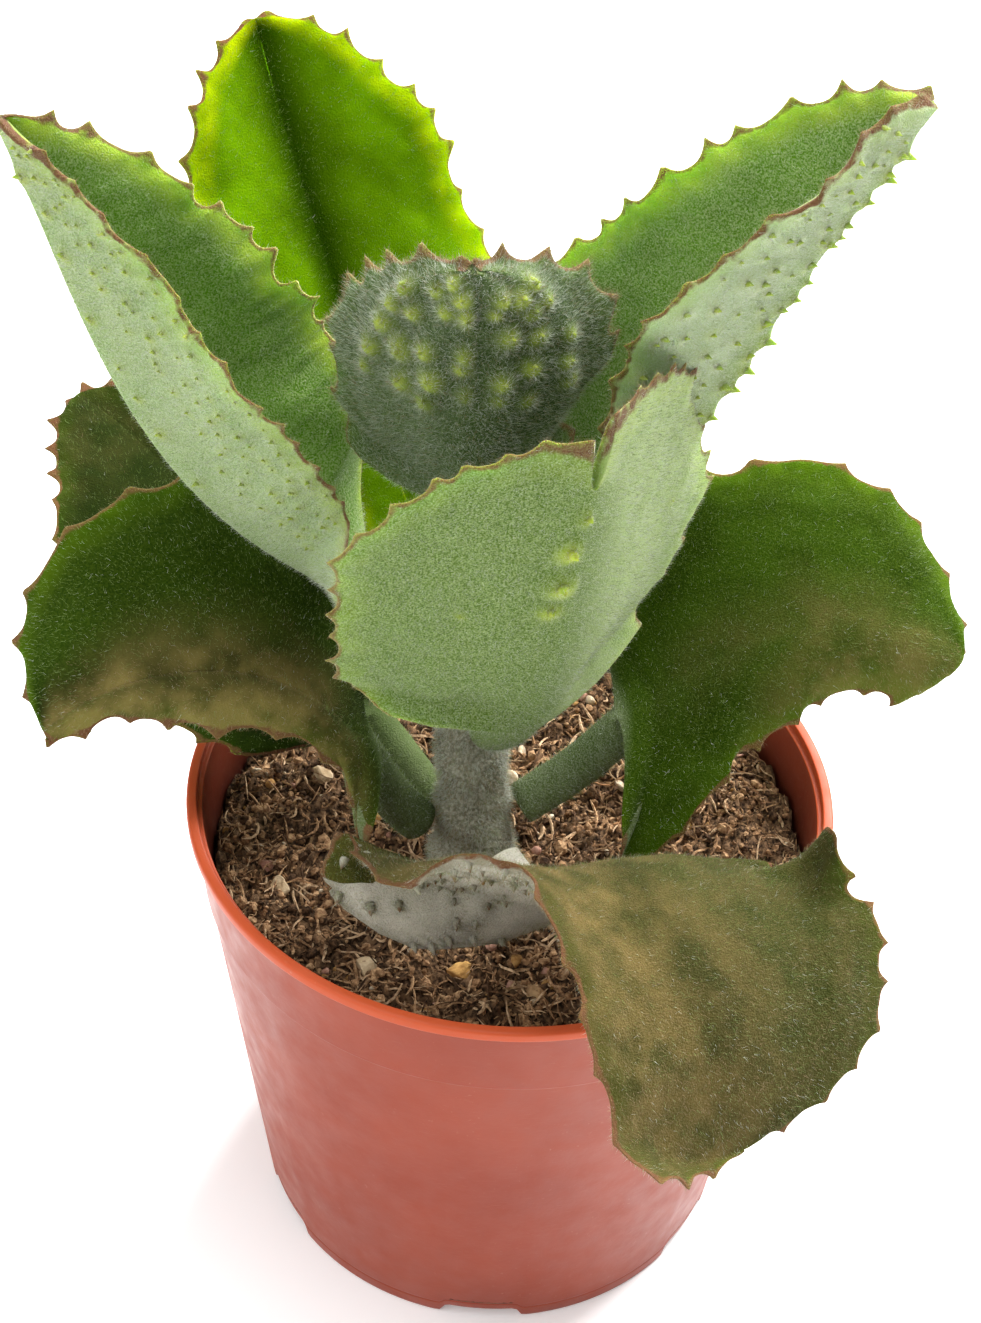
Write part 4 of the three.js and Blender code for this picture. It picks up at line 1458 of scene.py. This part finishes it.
@dataclass
class Pot:
    """A round nursery pot: collar, stepped lip, notched foot ring and drain holes."""

    BLEND_HEIGHT: ClassVar[float] = 8.0
    NOTCH_EDGE: ClassVar[float] = 1.8

    height: float
    rim_radius: float
    foot_radius: float = 47.0
    wall: float = 1.5
    lip_height: float = 2.6
    lip_overhang: float = 1.2
    lip_step: float = 1.6
    collar_height: float = 18.0
    collar_step: float = 0.5
    collar_flare: float = 1.4
    foot_height: float = 3.0
    floor: float = 2.0
    ring_width: float = 3.0
    pad_radius: float = 18.0
    notches: int = 6
    notch_width: float = 17.0
    notch_height: float = 2.5
    drains: int = 6
    drain_radius: float = 4.5
    drain_circle: float = 31.0
    groove_height: float = 3.5
    groove_depth: float = 0.12
    sides: int = 288

    def body_radius(self, z: float) -> float:
        """Gives the radius of the body's outside at a height."""
        top = self.rim_radius - self.lip_overhang - self.collar_flare - self.collar_step
        return self.foot_radius + (top - self.foot_radius) * z / (self.height - self.collar_height)

    def inner_radius(self, z: float) -> float:
        """Finds the radius of the inner wall.

        Args:
            z: the height.

        Returns:
            The radius there.
        """
        foot = self.height - self.collar_height
        if z <= foot:
            return self.body_radius(z) - self.wall
        flare = (self.collar_step + self.collar_flare) * (z - foot) / self.collar_height
        return self.body_radius(foot) - self.wall + flare

    def _profile(self) -> np.ndarray:
        """Makes the pot's outline.

        Returns:
            Radius and height of its points: out over the base, up the outside, down the inside.
        """
        top, collar = self.height, self.height - self.collar_height
        lip = top - self.lip_height
        out = self.body_radius(collar) + self.collar_step
        inside = self.inner_radius(top) + self.wall / 2
        step = top - self.lip_step
        ring = self.foot_radius - self.ring_width
        floor = self.foot_height + self.floor
        groove = self.groove_height
        return rounded((
            (0, 0, 0),
            (self.pad_radius, 0, 0.6),
            (self.pad_radius + self.foot_height, self.foot_height, 0.8),
            (ring, self.foot_height, 0.8),
            (ring, 0, 0.5),
            (self.foot_radius, 0, 0.8),
            (self.body_radius(groove - 0.3), groove - 0.3, 0.3),
            (self.body_radius(groove - 0.1) - self.groove_depth, groove, 0.1),
            (self.body_radius(groove + 0.3), groove + 0.4, 0.3),
            (self.body_radius(collar), collar, 0.35),
            (out, collar + self.collar_step, 0.3),
            (out + self.collar_flare, lip, 0.5),
            (self.rim_radius, lip + self.lip_overhang / 2, 0.45),
            (self.rim_radius, top, 0.7),
            (inside, top, 0.3),
            (inside, step, 0.25),
            (self.inner_radius(step), step, 0.3),
            (self.inner_radius(collar), collar, 1.5),
            (self.inner_radius(floor), floor, 2.0),
            (0, floor, 0),
        ))

    def skin(self) -> Skin:
        """Turns the outline round the axis and lifts the foot ring at the notches.

        Returns:
            The pot's closed skin, before its drain holes are cut.
        """
        profile = self._profile()
        turn = np.repeat(full_turn(self.sides)[None, :], len(profile), 0)
        radius = np.repeat(profile[:, :1], self.sides, 1)
        z = np.repeat(profile[:, 1:], self.sides, 1)
        pitch = 2 * math.pi / self.notches
        off = np.abs((turn + pitch) % pitch - pitch / 2) * self.foot_radius
        half, blend = self.notch_width / 2, self.BLEND_HEIGHT
        arch = self.notch_height * (1 - smooth_step(half - self.NOTCH_EDGE, half, off))
        ring = self.foot_radius - self.ring_width
        low = (z < blend) & (radius > ring - 1)
        raised = np.where(z < blend, arch + z * (blend - arch) / blend, z)
        z = np.where(low & (raised > z), raised, z)
        z = np.where((radius < ring + 0.9) & (z > self.foot_height), profile[:, 1:], z)
        lip = self.height - self.lip_height
        edge = smooth_step(lip - 0.3, lip + 0.8, z)
        edge = edge * (radius > self.inner_radius(self.height) - 0.2)
        # the inner wall, which the material darkens with painted shade
        inside = radius < np.vectorize(self.inner_radius)(z) + 0.3
        inside = inside & (z > self.foot_height + 1) & (z < self.height - 2.5)
        points = np.stack([radius * np.cos(turn), radius * np.sin(turn), z], -1)
        return Skin.tube(points, edge=edge, inside=inside.astype(float))

    def build(self) -> None:
        """Builds the pot, bores its drain holes and dresses it."""
        piece = self.skin().build("pot_shell", [PlasticFinish().material()])
        top = self.floor + self.foot_height
        for k in range(self.drains):
            angle = 2 * math.pi * k / self.drains
            bore(piece, self.drain_circle, angle, self.drain_radius, top)
        settle(piece, Slot.PLASTIC, "pot")


def rounded(corners: Sequence[tuple[float, float, float]]) -> np.ndarray:
    """Rounds the corners of an outline.

    Args:
        corners: x, y and the length that the rounding takes on each side of the corner.

    Returns:
        The outline's points.
    """
    points = np.array([c[:2] for c in corners], float)
    found = [points[0]]
    for i in range(1, len(corners) - 1):
        cut = corners[i][2]
        before, here, after = points[i - 1], points[i], points[i + 1]
        cut_in = min(cut, 0.48 * np.linalg.norm(here - before))
        cut_out = min(cut, 0.48 * np.linalg.norm(after - here))
        start = here + unit(before - here) * cut_in
        end = here + unit(after - here) * cut_out
        for s in np.linspace(0, 1, 5):
            found.append((1 - s) ** 2 * start + 2 * s * (1 - s) * here + s**2 * end)
    found.append(points[-1])
    return np.array(found)


def bore(piece: bpy.types.Object, circle: float, angle: float, radius: float, top: float) -> None:
    """Cuts one round hole through a piece's floor.

    Args:
        piece: the piece.
        circle: distance of the hole from the axis.
        angle: its direction from the axis.
        radius: its radius.
        top: height that it has to pass.
    """
    turn = full_turn(40)
    x = circle * math.cos(angle) + radius * np.cos(turn)
    y = circle * math.sin(angle) + radius * np.sin(turn)
    rings = np.stack([np.stack([x, y, np.full_like(turn, z)], -1) for z in (-2.0, top + 3)])
    cutter = Skin.tube(rings).build("drain_cutter", [])
    cut = piece.modifiers.new("drain", "BOOLEAN")
    cut.object, cut.operation, cut.solver = cutter, "DIFFERENCE", "EXACT"
    bpy.context.view_layer.update()
    evaluated = piece.evaluated_get(bpy.context.evaluated_depsgraph_get())
    shaped = bpy.data.meshes.new_from_object(evaluated)
    piece.modifiers.clear()
    piece.data = shaped
    bpy.data.objects.remove(cutter)


# Soil and stones ----------------------------------------------------------------------------


def lump(rng: np.random.Generator, cuts: int, fine: int) -> tuple[np.ndarray, np.ndarray]:
    """Makes a rough convex lump about one unit in radius.

    Args:
        rng: the random source.
        cuts: how many flats are cut off it.
        fine: subdivisions of the ball that it is cut from.

    Returns:
        Its points and its triangles.
    """
    points, faces = BALLS[fine]
    points = points.copy()
    for _ in range(cuts):
        normal = unit(rng.normal(size=3))
        over = np.maximum(points @ normal - rng.uniform(0.5, 0.85), 0)
        points = points - over[:, None] * normal
    return points * (1 + 0.05 * np.sin(points @ rng.normal(0, 5, 3))[:, None]), faces


def ball(fine: int) -> tuple[np.ndarray, np.ndarray]:
    """Makes the points and triangles of a ball.

    Args:
        fine: how often it is subdivided.

    Returns:
        Its points and its triangles.
    """
    shape = bmesh.new()
    bmesh.ops.create_icosphere(shape, subdivisions=fine, radius=1)
    shape.verts.ensure_lookup_table()
    points = np.array([v.co[:] for v in shape.verts])
    faces = np.array([[v.index for v in f.verts] for f in shape.faces])
    shape.free()
    return points, faces


BALLS = {fine: ball(fine) for fine in (1, 2, 4)}


def turns(rng: np.random.Generator, count: int) -> np.ndarray:
    """Makes random rotation matrices.

    Args:
        rng: the random source.
        count: how many there are.

    Returns:
        The matrices, in an array of that many by three by three.
    """
    w, x, y, z = unit(rng.normal(size=(count, 4))).T
    return np.stack([
        np.stack([1 - 2 * (y * y + z * z), 2 * (x * y - z * w), 2 * (x * z + y * w)], -1),
        np.stack([2 * (x * y + z * w), 1 - 2 * (x * x + z * z), 2 * (y * z - x * w)], -1),
        np.stack([2 * (x * z - y * w), 2 * (y * z + x * w), 1 - 2 * (x * x + y * y)], -1),
    ], 1)


@dataclass
class Soil:
    """Coarse peat and coir with crumbs, fibres and grit, between two heights and out to `edge`."""

    FOOT_SHARE: ClassVar[float] = 0.86
    CRUMBS: ClassVar[int] = 7000
    FIBRES: ClassVar[int] = 3600
    GRIT: ClassVar[int] = 170

    level: float
    edge: float
    bottom: float
    heap: float = 4.5
    rough: Waves = field(default_factory=lambda: Waves(5, 11, 1.5, 4))

    def height(self, x: np.ndarray, y: np.ndarray) -> np.ndarray:
        """Gives the height of the soil's surface, with a heap at the right rear.

        Args:
            x: places along X.
            y: places along Y.

        Returns:
            The height at each place.
        """
        humps = (np.sin(x / 7 + 1) * np.cos(y / 9) + 0.5 * np.sin(x / 4 - y / 5)) / 1.5
        heap = self.heap * np.exp(-(((x - 34) / 20) ** 2 + ((y - 20) / 24) ** 2))
        return self.level + 1.1 * humps + heap + self.rough.height(x, y)

    def surface(self) -> Skin:
        """Shapes the soil's body.

        Returns:
            Its skin, closed below.
        """
        angle = full_turn(200)
        grain = Waves(8, 2.6, 0.9, 2)
        foot = self.edge * self.FOOT_SHARE
        level = np.full_like(angle, self.bottom)
        rings = [np.stack([foot * np.cos(angle), foot * np.sin(angle), level], -1)]
        for radius in np.linspace(self.edge, 0.3, 90):
            x, y = radius * np.cos(angle), radius * np.sin(angle)
            rings.append(np.stack([x, y, self.height(x, y) + grain.height(x, y)], -1))
        return Skin.tube(np.stack(rings))

    def _spots(self, rng: np.random.Generator, count: int) -> np.ndarray:
        """Chooses places on the surface, clear of the pot's wall.

        Args:
            rng: the random source.
            count: how many places.

        Returns:
            Their x, y and z in three rows.
        """
        reach = (self.edge - 1.0) * np.sqrt(rng.random(count))
        angle = rng.uniform(0, 2 * math.pi, count)
        x, y = reach * np.cos(angle), reach * np.sin(angle)
        return np.stack([x, y, self.height(x, y)])

    def crumbs(self, rng: np.random.Generator, count: int, low: float, high: float,
               kinds: int, fine: int) -> Skin:
        """Scatters lumps.

        Args:
            rng: the random source.
            count: how many there are.
            low: smallest radius.
            high: largest radius.
            kinds: how many materials they take turns with.
            fine: how finely each is shaped.

        Returns:
            All lumps as one skin.
        """
        shapes = [lump(rng, 5, fine) for _ in range(12)]
        faces = shapes[0][1]
        base = np.array([s[0] for s in shapes])[rng.integers(0, 12, count)]
        size = low * (high / low) ** (rng.random(count) ** 2.2)
        stretch = rng.uniform(0.5, 1.2, (count, 1, 3)) * size[:, None, None]
        x, y, z = self._spots(rng, count)
        centre = np.stack([x, y, z + size * rng.uniform(-0.1, 0.6, count)], -1)
        points = np.einsum("nij,nkj->nki", turns(rng, count), base * stretch) + centre[:, None]
        return Skin.scattered(points, faces, rng.integers(0, kinds, count))

    def fibres(self, rng: np.random.Generator, count: int) -> Skin:
        """Scatters bent fibres.

        Args:
            rng: the random source.
            count: how many there are.

        Returns:
            All fibres as one skin, each a closed tapering tube.
        """
        shares = np.array([0.4, 0.9, 1, 1, 0.8, 0.3])
        steps = len(shares)
        x, y, z = self._spots(rng, count)[..., None]
        way = rng.uniform(0, 2 * math.pi, (count, 1))
        tilt = rng.normal(0.05, 0.28, (count, 1))
        long = rng.uniform(2, 8.5, (count, 1))
        bend = rng.normal(0, 0.9, (count, 1))
        part = np.linspace(-0.5, 0.5, steps)
        angle = way + bend * part
        x = x + np.cumsum(np.cos(angle) * long / steps, 1)
        y = y + np.cumsum(np.sin(angle) * long / steps, 1)
        pull = np.minimum(1, (self.edge - 0.8) / np.hypot(x, y))
        x, y = x * pull, y * pull
        z = z + 0.4 + np.tan(tilt) * part * long + 0.3 * np.sin(part * 6 + bend)
        middle = np.stack([x, y, np.maximum(z, self.height(x, y) - 0.2)], -1)
        thick = (rng.uniform(0.1, 0.34, (count, 1)) * shares)[..., None]
        across = np.stack([-np.sin(angle), np.cos(angle), np.zeros_like(angle)], -1)
        up = np.array([0.0, 0.0, 1.0])
        corners = full_turn(4)
        rings = [middle + thick * (math.cos(a) * across + math.sin(a) * up) for a in corners]
        copies = np.stack(rings, 2).reshape(count, -1, 3)
        return Skin.scattered(copies, ring_faces(steps, len(corners)), rng.integers(0, 4, count))

    def build(self) -> None:
        """Builds and dresses the soil and what is scattered on it."""
        earth = EarthFinish("peat", (0.20, 0.115, 0.06), (0.022, 0.012, 0.006)).material()
        settle(self.surface().build("soil_bed", [earth]), Slot.SOIL, "soil")
        brown = [
            EarthFinish("crumb_dark", (0.12, 0.065, 0.034), (0.025, 0.013, 0.006), 0.8, 0.3),
            EarthFinish("crumb_brown", (0.42, 0.24, 0.12), (0.13, 0.07, 0.035), 0.8, 0.3),
            EarthFinish("crumb_tan", (0.54, 0.34, 0.18), (0.24, 0.13, 0.065), 0.8, 0.3),
            EarthFinish("crumb_pale", (0.68, 0.48, 0.29), (0.36, 0.22, 0.12), 0.8, 0.3),
        ]
        tints = [finish.material() for finish in brown]
        rng = np.random.default_rng(77)
        crumbs = self.crumbs(rng, self.CRUMBS, 0.35, 1.5, 3, 1)
        settle(crumbs.build("soil_crumbs", tints, smooth=False), Slot.SOIL)
        fibres = self.fibres(rng, self.FIBRES)
        settle(fibres.build("soil_fibres", tints, smooth=False), Slot.SOIL)
        grit = [
            EarthFinish("grit_cream", (0.62, 0.52, 0.38), (0.42, 0.32, 0.20), 0.7, 0.15),
            EarthFinish("grit_ochre", (0.48, 0.28, 0.10), (0.30, 0.15, 0.05), 0.7, 0.15),
            EarthFinish("grit_pink", (0.52, 0.30, 0.22), (0.38, 0.19, 0.13), 0.7, 0.15),
        ]
        small = self.crumbs(rng, self.GRIT, 0.6, 1.9, 3, 2)
        settle(small.build("soil_grit", [finish.material() for finish in grit]), Slot.SOIL)


@dataclass
class StoneChips:
    """The larger stone chips, one for each CAD stone; `FILL` is their share of its box."""

    FILL: ClassVar[float] = 0.97

    nodes: list[str]
    tints: tuple[EarthFinish, ...] = (
        EarthFinish("chip_ochre", (0.62, 0.36, 0.12), (0.38, 0.19, 0.06), 2.2, 0.3),
        EarthFinish("chip_tan", (0.50, 0.33, 0.17), (0.34, 0.20, 0.10), 2.0, 0.3),
        EarthFinish("chip_cream", (0.60, 0.47, 0.30), (0.42, 0.29, 0.16), 2.0, 0.3),
    )

    def build(self) -> None:
        """Builds each chip inside the box of its CAD node."""
        made = [tint.material() for tint in self.tints]
        for index, node in enumerate(self.nodes):
            low, high = node_box(node)
            rng = np.random.default_rng(500 + index)
            points, faces = lump(rng, 12, 4)
            points = points / np.abs(points).max(0)
            points = points + 0.03 * np.sin(points @ rng.normal(0, 9, (3, 3)))
            points = (low + high) / 2 + points * (high - low) / 2 * self.FILL
            piece = Skin(points, faces).build(f"{node}_stone", [made[index % len(made)]])
            settle(piece, Slot.STONE, node)


@dataclass
class RootFibre:
    """A long thin dry root lying over the soil; heights on its route are above the soil."""

    name: str
    route: tuple[Place, ...]
    radius: float = 0.33

    def build(self, soil: Soil, material: bpy.types.Material) -> None:
        """Builds and dresses the root.

        Args:
            soil: the soil that it lies on.
            material: its material.
        """
        part = np.linspace(0, 1, 60)
        x, y, lift = (along([p[k] for p in self.route], part) for k in range(3))
        middle = np.stack([x, y, soil.height(x, y) + 0.6 + lift], -1)
        forward = unit(np.gradient(middle, axis=0))
        side = unit(np.cross(forward, (0, 0, 1)))
        other = np.cross(side, forward)
        angle = full_turn(7)[:, None]
        thick = self.radius * np.sqrt(np.clip(1.05 - part, 0, 1) * np.clip(part + 0.2, 0, 1) * 1.6)
        circle = np.cos(angle) * side[:, None] + np.sin(angle) * other[:, None]
        skin = Skin.tube(middle[:, None] + thick[:, None, None] * circle)
        settle(skin.build(self.name, [material]), Slot.SOIL)


ROOTS = (
    RootFibre("root_long", ((20, 4, 0.2), (27, 14, 1.2), (33, 24, 1.5), (44, 27, 0.8))),
    RootFibre("root_short", ((16, 12, 0.2), (30, 19, 0.6), (47, 20, 0.8)), 0.22),
)


# Shoot tip ----------------------------------------------------------------------------------


@dataclass
class ShootTip:
    """The closed bud between the youngest leaves."""

    def build(self) -> None:
        """Builds the bud as two folded leaflets with felt, in the box of its CAD node."""
        low, high = node_box("shoot_tip")
        middle, size = (low + high) / 2, high - low
        part, angle = np.meshgrid(np.linspace(0, 1, 40), full_turn(36), indexing="ij")
        foot = np.sqrt(np.clip(part / 0.15, 0.05, 1))
        wide = size[0] / 2 * foot * np.sqrt(np.clip(1 - part**2.2, 0.002, 1))
        crease = 1 - 0.22 * np.abs(np.cos(angle)) ** 6
        x = middle[0] + wide * crease * np.cos(angle)
        y = middle[1] + wide * crease * np.sin(angle)
        tip = smooth_step(0.8, 1.0, part)
        # painted light toward the bud's tip
        marks = leaf_marks(tip, brown=tip, glow=0.5 * tip, under=np.ones_like(tip))
        skin = Skin.tube(np.stack([x, y, low[2] + part * size[2]], -1), **marks)
        material = LEAF_FINISH[LeafAgeAndLight.YOUNG].shared()
        settle(skin.build("shoot_tip_bud", [material]), Slot.YOUNG_LEAF, "shoot_tip")
        flow = np.tile((0.0, 0.0, 1.0), (len(skin.points), 1))
        coat = Coat(per_area=12, length=1.2, white=0.8)
        hairs = coat.grow(skin, flow, np.random.default_rng(61))
        hair = hairs.build("shoot_tip_hairs", hair_materials(), smooth=False)
        settle(hair, Slot.YOUNG_LEAF)


# Studio -------------------------------------------------------------------------------------


@dataclass(frozen=True)
class Lamp:
    """A soft square light: its place and side in metres, and its power in watts."""

    name: str
    place: Place
    side: float
    power: float

    def build(self, aim: Place) -> None:
        """Adds the light.

        Args:
            aim: the point that it faces.
        """
        data = bpy.data.lights.new(self.name, "AREA")
        data.size, data.energy = self.side, self.power
        lamp = bpy.data.objects.new(self.name, data)
        lamp.location = self.place
        toward = Vector(aim) - Vector(self.place)
        lamp.rotation_euler = toward.to_track_quat("-Z", "Y").to_euler()
        bpy.context.scene.collection.objects.link(lamp)


@dataclass
class Studio:
    """Camera, floor and lights, in metres and degrees."""

    eye: Place = (0.0, -0.3197, 0.4065)
    pan: float = -0.87
    tilt: float = 40.73
    roll: float = 2.73
    lens: float = 64.6
    aim: Place = (0.0, 0.0, 0.13)
    floor_half: float = 4.0
    air: float = 0.3
    lamps: tuple[Lamp, ...] = (
        Lamp("back_right", (0.5, 0.7, 0.85), 0.75, 38.0),
        Lamp("front_left", (-0.7, -0.8, 0.9), 1.1, 9.0),
        Lamp("overhead", (0.15, 0.15, 1.3), 1.1, 19.0),
        Lamp("left", (-1.0, 0.1, 0.45), 0.6, 3.5),
    )

    def camera(self) -> None:
        """Places the camera, which looks down on the plant from the front."""
        pan, tilt, roll = (math.radians(a) for a in (self.pan, self.tilt, self.roll))
        level = math.cos(tilt)
        ahead = Vector((math.sin(pan) * level, math.cos(pan) * level, -math.sin(tilt)))
        across = Vector((math.cos(pan), -math.sin(pan), 0.0))
        up = across.cross(ahead)
        right = math.cos(roll) * across + math.sin(roll) * up
        top = -math.sin(roll) * across + math.cos(roll) * up
        data = bpy.data.cameras.new("camera")
        data.lens = self.lens
        data.sensor_width = 36.0
        data.clip_start = 0.01
        camera = bpy.data.objects.new("camera", data)
        camera.matrix_world = Matrix((
            (right.x, top.x, -ahead.x, self.eye[0]),
            (right.y, top.y, -ahead.y, self.eye[1]),
            (right.z, top.z, -ahead.z, self.eye[2]),
            (0, 0, 0, 1),
        ))
        bpy.context.scene.collection.objects.link(camera)
        bpy.context.scene.camera = camera

    def floor(self) -> None:
        """Lays a wide pale floor."""
        paint = Paint("pale_floor", 0.9)
        paint.colour(paint.mix(paint.noise(300, 2), (0.93, 0.93, 0.93), (0.95, 0.95, 0.95)))
        paint.set(Specular_IOR_Level=0.1, Emission_Strength=0.15)
        paint.set(Emission_Color=(1.0, 1.0, 1.0, 1.0))
        mesh = bpy.data.meshes.new("floor")
        w = self.floor_half
        mesh.from_pydata([(-w, -w, 0), (w, -w, 0), (w, w, 0), (-w, w, 0)], [], [(0, 1, 2, 3)])
        mesh.materials.append(paint.material)
        floor = bpy.data.objects.new("floor", mesh)
        bpy.context.scene.collection.objects.link(floor)

    def build(self) -> None:
        """Sets up the whole studio."""
        self.camera()
        self.floor()
        for lamp in self.lamps:
            lamp.build(self.aim)
        world = bpy.data.worlds.new("studio_air")
        world.use_nodes = True
        air = world.node_tree.nodes["Background"]
        air.inputs["Color"].default_value = (1.0, 1.0, 1.0, 1.0)
        air.inputs["Strength"].default_value = self.air
        bpy.context.scene.world = world
        bpy.context.scene.view_settings.view_transform = "Standard"


def main() -> None:
    """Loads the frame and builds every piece."""
    logging.basicConfig(level=logging.INFO, format="%(message)s")
    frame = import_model()
    Studio().build()
    _, pot_high = node_box("pot")
    soil_low, _ = node_box("soil")
    pot = Pot(height=float(pot_high[2]), rim_radius=float(pot_high[0]))
    stem = Stem(rim=pot.height, headspace=HEADSPACE)
    level = pot.height - HEADSPACE
    soil = Soil(level, pot.inner_radius(level) - 0.5, float(soil_low[2]))
    pot.build()
    soil.build()
    StoneChips(sorted(n for n in frame["nodes"] if n.startswith("stone_chip"))).build()
    dry = EarthFinish("dry_root", (0.45, 0.25, 0.12), (0.25, 0.12, 0.05), 1.5, 0.1).material()
    for root in ROOTS:
        root.build(soil, dry)
    stem.build()
    ShootTip().build()
    for leaf in LEAVES:
        leaf.build(stem)


if __name__ == "__main__":
    main()
